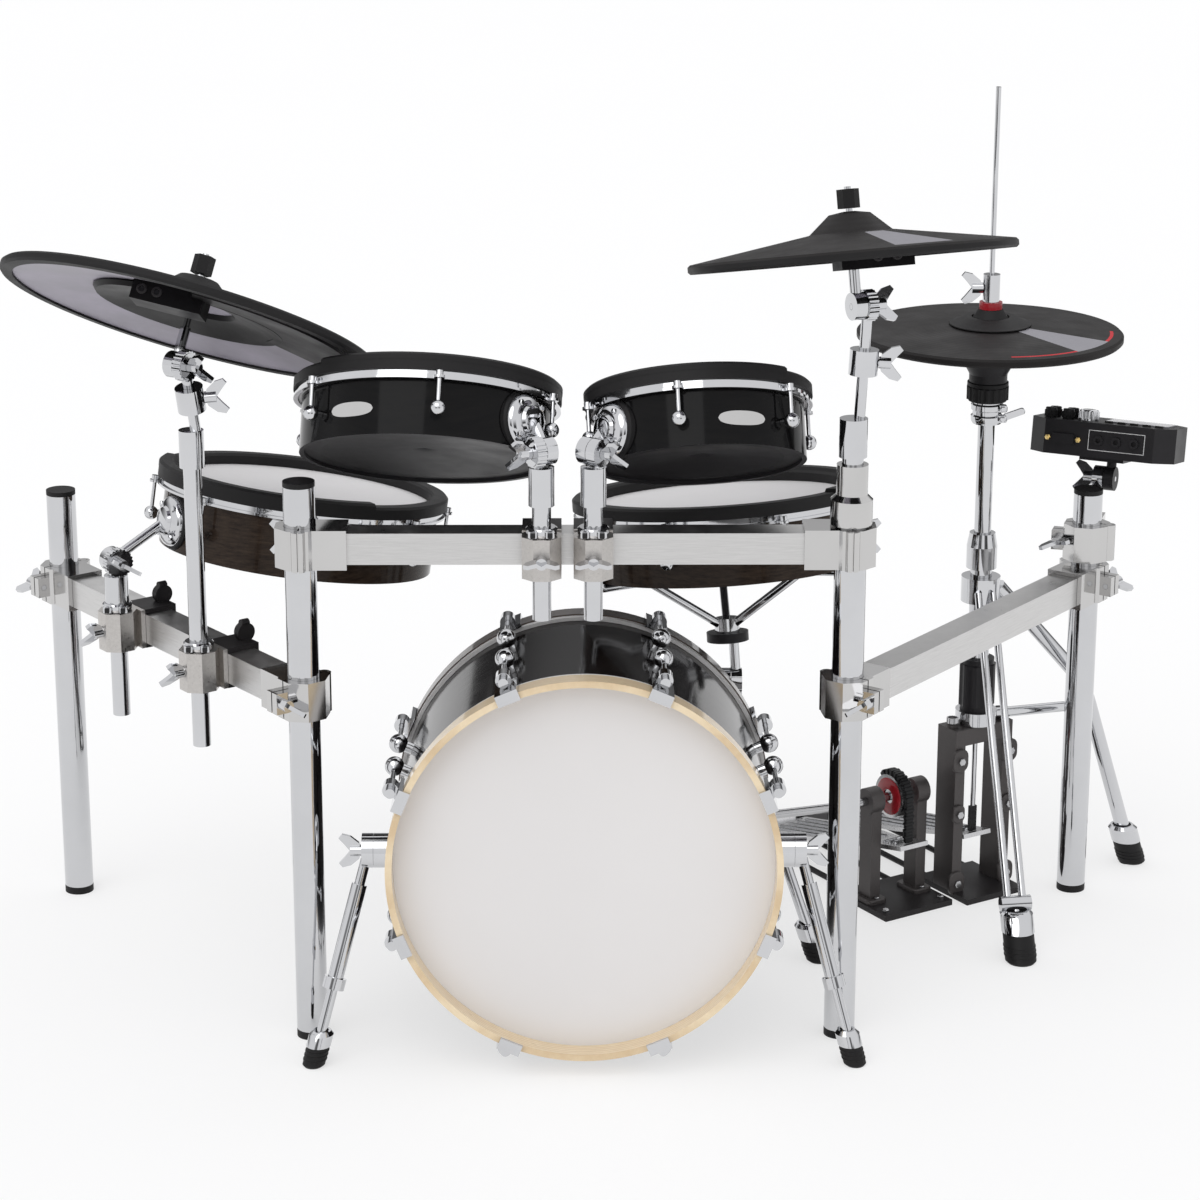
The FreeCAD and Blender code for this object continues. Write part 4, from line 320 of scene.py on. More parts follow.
def islands(mesh):
    """The separate solids of a node: lists of its faces, with each one's lowest and highest corner."""
    owner = {}

    def root(key):
        while owner[key] != key:
            owner[key] = owner[owner[key]]
            key = owner[key]
        return key

    keys = [tuple(round(c * 20000) for c in vertex.co) for vertex in mesh.vertices]
    for key in keys:
        owner[key] = key
    for face in mesh.polygons:
        first = root(keys[face.vertices[0]])
        for vertex in face.vertices[1:]:
            owner[root(keys[vertex])] = first
    groups = {}
    for face in mesh.polygons:
        groups.setdefault(root(keys[face.vertices[0]]), []).append(face)
    result = []
    for faces in groups.values():
        points = [mesh.vertices[i].co for face in faces for i in face.vertices]
        low = Vector(tuple(min(p[axis] for p in points) for axis in range(3)))
        high = Vector(tuple(max(p[axis] for p in points) for axis in range(3)))
        result.append((faces, low, high))
    return result


def dress(name, material, solid_rule=None, face_rule=None):
    """Gives a node its material, and other materials to some of its solids or faces."""
    mesh = NODES[name].data
    mesh.materials.clear()
    slots = {}

    def slot(item):
        if item.name not in slots:
            slots[item.name] = len(mesh.materials)
            mesh.materials.append(item)
        return slots[item.name]

    slot(material)
    for faces, low, high in islands(mesh):
        chosen = (solid_rule and solid_rule(low, high)) or material
        for face in faces:
            special = face_rule and face_rule(chosen, face)
            face.material_index = slot(special or chosen)


def shorter_than(limit, material):
    """A rule that gives a material to the solids whose box has a diagonal below a limit."""
    return lambda low, high: material if (high - low).length < limit else None


def below(limit, material):
    """A rule that gives a material to the solids below a height."""
    return lambda low, high: material if high.z < limit else None


def above(limit, material):
    """A rule that gives a material to the solids above a height."""
    return lambda low, high: material if low.z > limit else None


# Rack, stands and bass drum fittings
for name in ("rack_posts", "wing_screws", "module_mount", "snare_stand", "hihat_stand", "bass_hardware"):
    dress(name, CHROME)
dress("rubber_feet", RUBBER)
dress("rack_rails", RAIL)
dress("rail_clamps", NICKEL)
dress("arm_clamps", CAST)
dress("arm_brackets", COAT)

# Drums. The lengths are diagonals of the boxes round the small solids, or heights that part them from the others.
END_PLUG, BASKET_NUT = 0.045, 0.085
SHELL_SKIN = 0.0125
SPUR_TIP_TOP = 0.06


def shell_faces(place, outside):
    """A rule that makes the faces within a radius plain plastic."""
    inverse = place.inverted()

    def rule(chosen, face):
        where = inverse @ face.center
        return None if math.hypot(where.x, where.y) > outside else PLASTIC

    return rule


for name, (place, radius, _) in DRUMS.items():
    lacquered = TOM_LACQUER if name in ("left_tom", "right_tom") else BRONZE_LACQUER
    dress(f"{name}_shell", lacquered, shorter_than(2 * radius, PLASTIC), shell_faces(place, radius - SHELL_SKIN))
    dress(f"{name}_head", mesh_head(f"{name}_mesh", place, (0.67, 0.66, 0.665)))
    dress(f"{name}_hardware", CHROME)
    dress(f"{name}_rim", RUBBER)
    if f"{name}_arm" in NODES:
        dress(f"{name}_arm", CHROME, shorter_than(END_PLUG, RUBBER))
dress("snare_basket", CHROME, shorter_than(BASKET_NUT, PLASTIC))
dress("bass_shell", BASS_LACQUER)
dress("bass_front_hoop", FRONT_MAPLE)
dress("bass_rear_hoop", REAR_WOOD)
dress("bass_front_head", BASS_HEAD)
dress("bass_batter_head", BASS_HEAD)
for name in ("left_spur", "right_spur"):
    dress(name, CHROME, below(SPUR_TIP_TOP, RUBBER))

# Cymbal pads
JACK_BOX, ROD_FELT, HIHAT_PAD = 0.16, 0.07, 0.2
LOCK_NUT_HEIGHT = 0.0105
PAD_EDGE = 0.014
LEVEL = 0.2


def pad_faces(place, radius, top):
    """A rule for a cymbal pad's top, its grey underside and its edge."""
    inverse = place.inverted()

    def rule(chosen, face):
        if chosen is HUB:
            return None
        where = inverse @ face.center
        facing = (inverse.to_3x3() @ face.normal).z
        if facing < -LEVEL and math.hypot(where.x, where.y) < radius - PAD_EDGE:
            return UNDERSIDE
        return top if facing > LEVEL else RUBBER

    return rule


def hihat_rule(low, high):
    if (high - low).length > HIHAT_PAD:
        return HIHAT_TOP
    return RED if high.z - low.z < LOCK_NUT_HEIGHT else RUBBER


for name, place, top in (("ride", RIDE, RUBBER), ("crash", CRASH, CRASH_TOP)):
    dress(f"{name}_pad", RUBBER, shorter_than(JACK_BOX, HUB), pad_faces(place, PAD_RADIUS[name], top))
    dress(f"{name}_boom", CHROME, shorter_than(END_PLUG, RUBBER))
    dress(f"{name}_rod", CHROME, shorter_than(ROD_FELT, RUBBER))
dress("hihat_pad", RUBBER, hihat_rule)
dress("hihat_rod", CHROME)
dress("hihat_controller", PLASTIC)

# Pedals and hi-hat frame
BASE_TOP, SLEEVE_FOOT, BEATER_FOOT = 0.05, 0.23, 0.25
TOE_CHAIN, CAM_CHAIN = 0.03, 0.10


def frame_rule(low, high):
    return PLASTIC if low.z > SLEEVE_FOOT else below(BASE_TOP, COAT)(low, high)


def axle_rule(low, high):
    """A rule for an axle's beater head and the chain on its cam."""
    if (high - low).length > CAM_CHAIN:
        return None
    return WHITE_FELT if low.z > BEATER_FOOT else CHAIN


dress("hihat_frame", DARK_CAST, frame_rule)
for name in ("slave", "main"):
    dress(f"{name}_pedal_frame", DARK_CAST, below(BASE_TOP, COAT))
    dress(f"{name}_axle", STEEL, axle_rule)
for name in ("slave_footboard", "main_footboard", "hihat_footboard"):
    dress(name, BOARD, shorter_than(TOE_CHAIN, CHAIN))
dress("left_beater", STEEL, above(BEATER_FOOT, WHITE_FELT))
dress("drive_shaft", STEEL)

# Module
dress("module_case", PLASTIC)
dress("module_dial", CHROME)


class Piece:
    """A mesh in the making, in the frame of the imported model, that then rides on a body."""

    def __init__(self):
        self.mesh = bmesh.new()

    def skin(self, rings, closed):
        """Faces round each pair of neighbouring rings, and across the two ends where they are open."""
        pairs = list(zip(rings, rings[1:]))
        if closed:
            pairs.append((rings[-1], rings[0]))
        for lower, upper in pairs:
            for index in range(len(lower)):
                after = (index + 1) % len(lower)
                self.mesh.faces.new((lower[index], lower[after], upper[after], upper[index]))
        if not closed:
            self.mesh.faces.new(list(reversed(rings[0])))
            self.mesh.faces.new(rings[-1])

    def ring(self, place, points):
        return [self.mesh.verts.new(place @ Vector(point)) for point in points]

    def turn(self, place, profile, closed=True, steps=40, slant=(0.0, 0.0)):
        """A profile of (radius, height) points turned about Z, with its axis slanted if need be."""
        angles = [math.tau * step / steps for step in range(steps)]
        rings = [self.ring(place, [(radius * math.cos(a) + slant[0] * height, radius * math.sin(a) + slant[1] * height,
                                    height) for a in angles]) for radius, height in profile]
        self.skin(rings, closed)

    def sector(self, place, profile, start, end, steps=36):
        """A closed profile of (radius, height) points turned about Z from one angle to another."""
        angles = [math.radians(start + (end - start) * step / steps) for step in range(steps + 1)]
        self.skin([self.ring(place, [(radius * math.cos(a), radius * math.sin(a), height)
                                     for radius, height in profile]) for a in angles], False)

    def knurl(self, place, inner, outer, depth, low, high, teeth):
        """A ring about Z whose outside is cut into teeth."""
        steps = teeth * 4
        cut = [depth if step % 4 > 1 else 0.0 for step in range(steps)]
        rings = []
        for radius, share, height in ((inner, 0, low), (outer, 1, low), (outer, 1, high), (inner, 0, high)):
            rings.append(self.ring(place, [((radius - share * cut[step]) * math.cos(math.tau * step / steps),
                                            (radius - share * cut[step]) * math.sin(math.tau * step / steps), height)
                                           for step in range(steps)]))
        self.skin(rings, True)

    def plate(self, place, outline, thickness, bevel):
        """An outline raised along Z, with a bevelled upper edge."""
        reach = max(math.hypot(x, y) for x, y in outline)
        shrink = 1 - bevel / reach
        rings = [self.ring(place, [(x, y, 0.0) for x, y in outline]),
                 self.ring(place, [(x, y, thickness - bevel) for x, y in outline]),
                 self.ring(place, [(x * shrink, y * shrink, thickness) for x, y in outline])]
        self.skin(rings, False)

    def badge(self, place, radius, middle, width, height, thickness, columns=28):
        """A plain oval plate bent round a shell of that radius, its middle at an angle and at Z = 0 of place."""
        rings = []
        for column in range(columns + 1):
            share = 2 * column / columns - 1
            half = height / 2 * (1 - abs(share) ** 2.6) ** 0.5 + height * 0.04
            angle = math.radians(middle) + share * width / 2 / radius
            way = (math.cos(angle), math.sin(angle))
            rings.append(self.ring(place, [(way[0] * out, way[1] * out, rise) for out, rise in (
                (radius - 0.001, -half), (radius + thickness, -half * 0.92), (radius + thickness, half * 0.92),
                (radius - 0.001, half))]))
        self.skin(rings, False)

    def finish(self, name, material, body):
        bmesh.ops.recalc_face_normals(self.mesh, faces=self.mesh.faces)
        for edge in self.mesh.edges:
            edge.smooth = edge.calc_face_angle(0.0) < math.radians(35)
        for face in self.mesh.faces:
            face.smooth = True
        data = bpy.data.meshes.new(name)
        self.mesh.to_mesh(data)
        self.mesh.free()
        data.materials.append(material)
        item = bpy.data.objects.new(name, data)
        bpy.context.scene.collection.objects.link(item)
        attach(item, body)


def aimed(start, way):
    """A place whose Z axis points along way."""
    return Matrix.Translation(start) @ way.to_track_quat("Z", "Y").to_matrix().to_4x4()


def box_outline(width, length):
    return [(-width / 2, -length / 2), (width / 2, -length / 2), (width / 2, length / 2), (-width / 2, length / 2)]


def rounded(width, length, radius, steps=5):
    """A rectangle with round corners."""
    points = []
    for quarter, (side, end) in enumerate(((1, 1), (-1, 1), (-1, -1), (1, -1))):
        for step in range(steps + 1):
            angle = math.radians(90 * (quarter + step / steps))
            points.append((side * (width / 2 - radius) + radius * math.cos(angle),
                           end * (length / 2 - radius) + radius * math.sin(angle)))
    return points


def hexagon(across):
    return [(across / 2 * math.cos(math.tau * side / 6), across / 2 * math.sin(math.tau * side / 6))
            for side in range(6)]


# Tom mounts: a domed chrome casting on a black gasket, where each tom's tilter neck meets its shell
MOUNT_DROP = 0.010
for name in ("left_tom", "right_tom", "floor_tom"):
    rim_place, rim_radius, depth = DRUMS[name]
    drum = rim_place @ Matrix.Translation((0, 0, -depth - RIM_ABOVE_SHELL))
    shell = rim_radius - RIM_OVERHANG
    pivot = drum.inverted() @ Vector(JOINTS[f"{name}_tilt"]["pos_m"])
    angle = math.atan2(pivot.y, pivot.x)
    outward = (drum @ Matrix.Rotation(angle, 4, "Z") @ Matrix.Translation((shell, 0, (depth - MOUNT_DROP) / 2))
               @ Matrix.Rotation(math.pi / 2, 4, "Y"))
    gasket = Piece()
    gasket.turn(outward, [(0.037, -0.006), (0.037, 0.0), (0.035, 0.0025), (0.012, 0.0025)], closed=False)
    gasket.finish(f"{name}_mount_gasket", RUBBER, name)
    casting = Piece()
    casting.turn(outward, [(0.032, -0.003), (0.0325, 0.004), (0.030, 0.0085), (0.024, 0.012), (0.019, 0.013),
                           (0.017, 0.0165), (0.0125, 0.018)], closed=False)
    for turn in range(4):
        spot = outward @ Matrix.Rotation(math.tau * (turn + 0.5) / 4, 4, "Z") @ Matrix.Translation((0.026, 0, 0.009))
        casting.plate(spot, hexagon(0.008), 0.004, 0.001)
    casting.finish(f"{name}_mount_casting", CHROME, name)

# Plain oval badges on the two front toms
BADGE_LEVEL, BADGE_SIZE = 0.70, (0.058, 0.017, 0.0016)
for name, middle in (("left_tom", -124), ("right_tom", -68)):
    rim_place, rim_radius, depth = DRUMS[name]
    badge = Piece()
    level = rim_place @ Matrix.Translation((0, 0, -depth * BADGE_LEVEL))
    badge.badge(level, rim_radius - RIM_OVERHANG, middle, *BADGE_SIZE)
    badge.finish(f"{name}_badge", NICKEL, name)

# Rims: the raised stretch of each drum's rubber rim, from one angle to another. Its outline is given by how far each
# corner lies outside the rim's radius, and its height.
RISE_OUTLINE = ((-0.0190, 0.0078), (-0.0165, 0.0125), (-0.0030, 0.0125), (0.0004, 0.0095), (0.0004, 0.0035),
                (-0.0030, 0.0078))
for name, start, end in (("left_tom", -140, 20), ("right_tom", -200, -41), ("floor_tom", -190, -58),
                         ("snare", -40, 60)):
    rim_place, rim_radius, _ = DRUMS[name]
    rise = Piece()
    rise.sector(rim_place, [(rim_radius + out, height) for out, height in RISE_OUTLINE], start, end)
    rise.finish(f"{name}_rim_rise", RUBBER, name)

# Tilters: a toothed ring on the half that its tube carries. The right tom's hardware leaves room for a thin one.
RATCHET_BORE, RATCHET_OUTER, THIN_RATCHET_OUTER = 0.0161, 0.0185, 0.0167
for name, body in (("left_tom", "left_tom_arm"), ("right_tom", "right_tom_arm"), ("floor_tom", "floor_tom_arm"),
                   ("ride", "ride_boom"), ("crash", "crash_boom")):
    joint = JOINTS[f"{name}_tilt"]
    ratchet = Piece()
    outer = THIN_RATCHET_OUTER if name == "right_tom" else RATCHET_OUTER
    ratchet.knurl(aimed(Vector(joint["pos_m"]), -Vector(joint["axis"])), RATCHET_BORE, outer,
                  (outer - RATCHET_BORE) / 2, 0.0012, 0.0135, 22)
    ratchet.finish(f"{name}_ratchet", CHROME, body)

# Memory rings on the four arm tubes, each with two square-headed bolts, just above its clamp
CLAMP_GAP, BOLT_ASIDE = 0.0006, 0.010
for name, body, top in (("left_tom", "left_tom_arm", 0.652), ("right_tom", "right_tom_arm", 0.652),
                        ("floor_tom", "floor_tom_arm", 0.465), ("ride", "ride_boom", 0.465)):
    spot = JOINTS[f"{name}_swivel"]["pos_m"]
    middle = Matrix.Translation((spot[0], spot[1], top + CLAMP_GAP))
    memory = Piece()
    memory.turn(middle, [(0.0113, 0.0), (0.0175, 0.0), (0.0185, 0.002), (0.0185, 0.008), (0.0165, 0.010),
                         (0.0113, 0.010)])
    for side in SIDES:
        lug = middle @ Matrix.Translation((side * BOLT_ASIDE, -0.0165, 0.005)) @ Matrix.Rotation(math.pi / 2, 4, "X")
        memory.plate(lug, rounded(0.011, 0.009, 0.0015), 0.005, 0.001)
    memory.finish(f"{name}_memory_ring", CHROME, body)
    bolts = Piece()
    for side in SIDES:
        head = middle @ Matrix.Translation((side * BOLT_ASIDE, -0.0213, 0.005)) @ Matrix.Rotation(math.pi / 2, 4, "X")
        bolts.plate(head, rounded(0.006, 0.006, 0.001), 0.0035, 0.0006)
    bolts.finish(f"{name}_memory_bolts", GLOSS, body)

# Half-round tabs on the hook brackets
tabs = Piece()
data = NODES["arm_brackets"].data
for faces, low, high in islands(data):
    tops = [face for face in faces if face.normal.z > 0.9 and face.center.z > high.z - 0.001]
    corners = [data.vertices[index].co for face in tops for index in face.vertices]
    middle = sum(corners, Vector()) / len(corners)
    far = max(corners, key=lambda corner: (corner - middle).length)
    edges = sorted(((far - corner) for corner in corners if (far - corner).length > 0.001), key=lambda e: e.length)
    across = edges[0].normalized()
    along = UP.cross(across).normalized()
    half = max(abs((corner - middle).dot(along)) for corner in corners)
    thick = 2 * max(abs((corner - middle).dot(across)) for corner in corners)
    outward = along.cross(UP)
    place = Matrix((along, UP, outward)).transposed().to_4x4()
    place.translation = middle - outward * thick / 2
    arch = [(half * math.cos(math.pi * step / 18), half * 0.9 * math.sin(math.pi * step / 18)) for step in range(19)]
    tabs.plate(place, arch + [(-half, -0.002), (half, -0.002)], thick, 0.001)
tabs.finish("bracket_tabs", COAT, "rack")

# Undersides of the two cymbal pads: moulded hub, and sockets in the jack box
for name, place, box_turn, sockets in (("ride", RIDE, -100, (-0.030, -0.012)), ("crash", CRASH, -80, (0.0, 0.022))):
    radius = PAD_RADIUS[name]
    hub = Piece()
    hub.turn(place, [(0.050, -0.0148), (radius * 0.52, -0.0262), (radius * 0.50, -0.0315), (0.054, -0.0205)])
    hub.sector(place, [(radius * 0.45, -0.0245), (radius * 0.88, -0.0360), (radius * 0.87, -0.0395),
                       (radius * 0.45, -0.0300)], box_turn + 12, box_turn + 122)
    hub.finish(f"{name}_hub", HUB, f"{name}_pad")
    sleeve = Piece()
    bore = Piece()
    for aside in sockets:
        face = (place @ Matrix.Rotation(math.radians(box_turn), 4, "Z")
                @ Matrix.Translation((radius * 0.5 + 0.023, aside, -0.037)) @ Matrix.Rotation(math.pi / 2, 4, "Y"))
        sleeve.turn(face, [(0.0036, -0.001), (0.0062, -0.001), (0.0062, 0.0012), (0.0050, 0.0022), (0.0036, 0.0022)],
                    steps=24)
        bore.turn(face, [(0.0035, -0.002), (0.0035, 0.0006)], closed=False, steps=24)
    sleeve.finish(f"{name}_jack_collars", COAT, f"{name}_pad")
    bore.finish(f"{name}_jack_bores", GLOSS, f"{name}_pad")

# Hi-hat: saucer round the pad's cone
saucer = Piece()
saucer.turn(HIHAT, [(0.0246, 0.7934), (0.0325, 0.7934), (0.0485, 0.7860), (0.0530, 0.7858), (0.0535, 0.7866),
                    (0.0530, 0.7876), (0.0490, 0.7884), (0.0330, 0.7960), (0.0246, 0.7960)])
saucer.finish("hihat_saucer", RUBBER, "hihat_rod")

# Hi-hat: ribbed controller collar, grip of the spring sleeve, memory clamp with its bolts and key
grip = Piece()
grip.knurl(HIHAT, 0.0251, 0.0276, 0.0016, 0.6860, 0.7030, 18)
grip.turn(HIHAT, [(0.0251, 0.7042), (0.0270, 0.7050), (0.0270, 0.7090), (0.0251, 0.7100)])
grip.finish("controller_grip", RUBBER, "rack")
sleeve = Piece()
sleeve.knurl(HIHAT, 0.0221, 0.0242, 0.0018, 0.2640, 0.3220, 10)
sleeve.finish("spring_sleeve_grip", PLASTIC, "rack")
clamp = Piece()
clamp.turn(HIHAT, [(0.0191, 0.6560), (0.0205, 0.6560), (0.0212, 0.6590), (0.0212, 0.6640), (0.0191, 0.6660)])
clamp.turn(HIHAT, [(0.0191, 0.6710), (0.0212, 0.6725), (0.0212, 0.6790), (0.0191, 0.6810)])
for height in (0.6615, 0.6755):
    ear = HIHAT @ Matrix.Translation((0.017, -0.009, height)) @ Matrix.Rotation(math.radians(90), 4, "X")
    clamp.plate(ear, rounded(0.016, 0.010, 0.003), 0.006, 0.001)
    clamp.plate(ear @ Matrix.Translation((0.002, 0, 0.006)), hexagon(0.008), 0.004, 0.0008)
key = HIHAT @ Matrix.Translation((0.034, -0.010, 0.668)) @ Matrix.Rotation(math.radians(90), 4, "X")
clamp.plate(key @ Matrix.Rotation(math.radians(20), 4, "Z"), rounded(0.030, 0.009, 0.0042), 0.004, 0.001)
clamp.finish("hihat_memory_clamp_fittings", CHROME, "rack")

# Pedal chains and cams: alternating link plates, and red side plates on the cam
POST_LINE = 0.062
AXLE = Matrix.Translation((0, POST_LINE, 0.150))
LINK_WIDTHS = (0.0122, 0.0148)
WRAP_START, WRAP_PITCH, RUN_PITCH = 172, 7.4, 0.0047
for name, place in (("slave", SLAVE), ("main", MAIN)):
    wrap = Piece()
    for link in range(17):
        spoke = place @ AXLE @ Matrix.Rotation(math.radians(WRAP_START - WRAP_PITCH * link - 90), 4, "X")
        wrap.plate(spoke @ Matrix.Translation((0, 0, 0.0300)), rounded(LINK_WIDTHS[link % 2], 0.0038, 0.001), 0.0066,
                   0.0008)
    wrap.finish(f"{name}_chain_wrap_links", CHAIN, f"{name}_axle")
    run = Piece()
    for link in range(11):
        spot = place @ Matrix.Translation((0, 0.0292, 0.0945 + RUN_PITCH * link))
        run.plate(spot, rounded(LINK_WIDTHS[link % 2], 0.0066, 0.001), 0.0036, 0.0006)
    run.finish(f"{name}_chain_run_links", CHAIN, f"{name}_footboard")
    cam = Piece()
    for side in SIDES:
        across = place @ AXLE @ Matrix.Rotation(side * math.pi / 2, 4, "Y")
        cam.turn(across, [(0.010, 0.0088), (0.0255, 0.0088), (0.0255, 0.0098), (0.0243, 0.0106), (0.010, 0.0106)])
    cam.finish(f"{name}_cam_sides", RED, f"{name}_axle")

# Footboards: long raised ribs, and short bars across the toe
HEEL_HEIGHT, BOARD_TOP = 0.022, 0.0029
RIB_PITCH, TOE_BAR_PITCH = 0.0145, 0.012
for name, place, heel, toe, rise in (("slave", SLAVE, 0.330, 0.015, 0.092), ("main", MAIN, 0.330, 0.015, 0.092),
                                     ("hihat", STAND, 0.270, -0.012, 0.080)):
    slope = math.atan2(rise - HEEL_HEIGHT, heel - toe)
    length = (heel - toe) / math.cos(slope)
    top = (place @ Matrix.Translation((0, heel, HEEL_HEIGHT)) @ Matrix.Rotation(-slope, 4, "X")
           @ Matrix.Translation((0, 0, BOARD_TOP)))
    ribs = Piece()
    for index in range(-2, 3):
        span = length * (0.50 if abs(index) == 2 else 0.66)
        spot = top @ Matrix.Translation((index * RIB_PITCH, -0.030 - span / 2, 0))
        ribs.plate(spot, rounded(0.0045, span, 0.002), 0.0016, 0.0006)
    for row in range(3):
        spot = top @ Matrix.Translation((0, -length + 0.026 + row * TOE_BAR_PITCH, 0))
        ribs.plate(spot, rounded(0.030, 0.005, 0.002), 0.0022, 0.0006)
    ribs.finish(f"{name}_footboard_ribs", CHROME, f"{name}_footboard")

# Rubber boots over the slanted feet of the stands and spurs, flat on the floor, with chrome ferrules
BOOT_CLEARANCE = 0.0008
FOOT_TOP = 0.07
LEAST_SLANT, LEAST_RISE = 0.002, 0.01
BOOT_RIBS, RIB_START, RIB_STEP = 3, 0.008, 0.005


def slanted_foot(data, faces, low, high):
    """The base of a slanted foot on the floor, its slant, its radius seen from above, and its height."""
    points = [data.vertices[index].co for index in {index for face in faces for index in face.vertices}]
    level = (low.z + high.z) / 2
    bottoms = [point for point in points if point.z < level]
    tops = [point for point in points if point.z >= level]
    foot, head = (sum(side, Vector()) / len(side) for side in (bottoms, tops))
    way = head - foot
    if math.hypot(way.x, way.y) < LEAST_SLANT or way.z < LEAST_RISE:
        return None
    slant = (way.x / way.z, way.y / way.z)
    along = way.normalized()
    reach = max(((p - foot) - along * (p - foot).dot(along)).length for p in points) / along.z + BOOT_CLEARANCE
    base = Matrix.Translation((foot.x - slant[0] * foot.z, foot.y - slant[1] * foot.z, 0.0))
    return base, slant, reach, high.z + BOOT_CLEARANCE


for name, body in (("rubber_feet", "rack"), ("left_spur", "left_spur"), ("right_spur", "right_spur")):
    boots = Piece()
    ferrules = Piece()
    data = NODES[name].data
    for faces, low, high in islands(data):
        shape = slanted_foot(data, faces, low, high) if high.z < FOOT_TOP else None
        if shape is None:
            continue
        base, slant, reach, tall = shape
        boots.turn(base, [(reach - 0.003, 0.0003), (reach, 0.003), (reach, tall * 0.55),
                          (reach - 0.0005, tall - 0.004), (reach - 0.003, tall)], closed=False, slant=slant)
        for rib in range(BOOT_RIBS):
            rise = RIB_START + rib * RIB_STEP
            boots.turn(base, [(reach - 0.001, rise), (reach + 0.0008, rise + 0.0006), (reach + 0.0008, rise + 0.0020),
                              (reach - 0.001, rise + 0.0026)], slant=slant)
        ferrules.turn(base, [(reach - 0.001, tall * 0.60), (reach + 0.0012, tall * 0.60),
                             (reach + 0.0012, tall - 0.003), (reach - 0.003, tall + 0.0012),
                             (reach - 0.006, tall + 0.0012)], slant=slant)
    boots.finish(f"{name}_boots", RUBBER, body)
    ferrules.finish(f"{name}_ferrules", CHROME, body)

# Hi-hat frame and pedal posts: cast ears, spring knobs, foot flanges and their bolts
PLATE_TOP, FRAME_TOP, FLANGE, EAR = 0.0079, 0.2379, 0.006, 0.0045
ears = Piece()
bolts = Piece()
for side in SIDES:
    for height, wide in ((0.196, 0.026), (0.120, 0.020), (0.020, 0.026)):
        ear = STAND @ Matrix.Translation((side * 0.042, -0.0199, height)) @ Matrix.Rotation(math.pi / 2, 4, "X")
        ears.plate(ear, rounded(wide, wide * 1.25, wide * 0.42), EAR, 0.0012)
        bolts.plate(ear @ Matrix.Translation((0, 0, EAR)), hexagon(0.011), 0.0045, 0.001)
    knob = STAND @ Matrix.Translation((side * 0.040, 0, FRAME_TOP))
    ears.turn(knob, [(0.0085, 0.0), (0.0085, 0.004), (0.006, 0.0055), (0.006, 0.012)], closed=False, steps=28)
    bolts.knurl(knob, 0.0061, 0.0080, 0.0008, 0.0062, 0.0135, 14)
for place, columns in ((SLAVE, (-0.038, 0.038)), (MAIN, (-0.038, 0.038, 0.084))):
    for column in columns:
        flange = place @ Matrix.Translation((column, POST_LINE, PLATE_TOP))
        ears.plate(flange, rounded(0.030, 0.044, 0.006), FLANGE, 0.0015)
        for end in SIDES:
            bolts.plate(flange @ Matrix.Translation((0, end * 0.0175, FLANGE)), hexagon(0.007), 0.003, 0.0008)
    for end in SIDES:
        foot_bolt = place @ Matrix.Translation((end * 0.046, 0.014, PLATE_TOP))
        bolts.plate(foot_bolt, hexagon(0.010), 0.004, 0.001)
ears.finish("pedal_castings", DARK_CAST, "rack")
bolts.finish("pedal_bolts", STEEL, "rack")

# Module: knurled knobs with pointer marks, display, buttons, outlined jack panel, gold connector screws
KNOB_CORNER, KNOB_PITCH = (-0.074, -0.029), 0.024
CASE_TOP, CASE_SURFACE, DIAL_FOOT = 0.046, 0.0459, 0.0463
DIAL_SPOT = (2, 0)
caps = Piece()
marks = Piece()
for column in range(3):
    for line in range(2):
        if (column, line) == DIAL_SPOT:
            continue
        knob = MODULE @ Matrix.Translation((KNOB_CORNER[0] + KNOB_PITCH * column, KNOB_CORNER[1] + KNOB_PITCH * line,
                                            CASE_TOP))
        caps.knurl(knob, 0.0074, 0.0087, 0.0007, 0.0012, 0.0100, 16)
        caps.turn(knob, [(0.0070, 0.0128), (0.0066, 0.0136), (0.002, 0.0138)], closed=False, steps=32)
        marks.plate(knob @ Matrix.Translation((0, 0.0035, 0.0137)), rounded(0.0012, 0.0050, 0.0005), 0.0004, 0.0001)
caps.finish("module_knob_caps", RUBBER, "module")
face = MODULE @ Matrix.Translation((0, -0.0528, 0)) @ Matrix.Rotation(math.pi / 2, 4, "X")
for aside, level, wide, tall in ((0.024, 0.036, 0.076, 0.0008), (0.024, 0.010, 0.076, 0.0008),
                                 (-0.0136, 0.023, 0.0008, 0.0268), (0.0616, 0.023, 0.0008, 0.0268)):
    marks.plate(face @ Matrix.Translation((aside, level, 0)), box_outline(wide, tall), 0.0006, 0.0001)
marks.finish("module_marks", MARK, "module")
panel = Piece()
panel.plate(MODULE @ Matrix.Translation((0.040, 0.008, CASE_SURFACE)), rounded(0.086, 0.050, 0.004), 0.0016, 0.0006)
panel.finish("module_display", SCREEN, "module")
buttons = Piece()
for index in range(5):
    spot = MODULE @ Matrix.Translation((0.006 + 0.017 * index, -0.030, CASE_SURFACE))
    buttons.plate(spot, rounded(0.011, 0.006, 0.002), 0.0026, 0.0006)
for level in (0.012, 0.0345):
    buttons.plate(MODULE @ Matrix.Translation((0, 0.0535, level)) @ Matrix.Rotation(-math.pi / 2, 4, "X"),
                  rounded(0.120, 0.003, 0.0012), 0.0014, 0.0004)
buttons.finish("module_buttons", RUBBER, "module")
screws = Piece()
for side in SIDES:
    spot = face @ Matrix.Translation((-0.048 + side * 0.0205, 0.0215, 0))
    screws.plate(spot, hexagon(0.0080), 0.0050, 0.0008)
    screws.turn(spot @ Matrix.Translation((0, 0, 0.0050)), [(0.0022, 0.0), (0.0022, 0.0020), (0.0014, 0.0030)],
                closed=False, steps=20)
screws.finish("module_connector_screws", GOLD, "module")
dial = Piece()
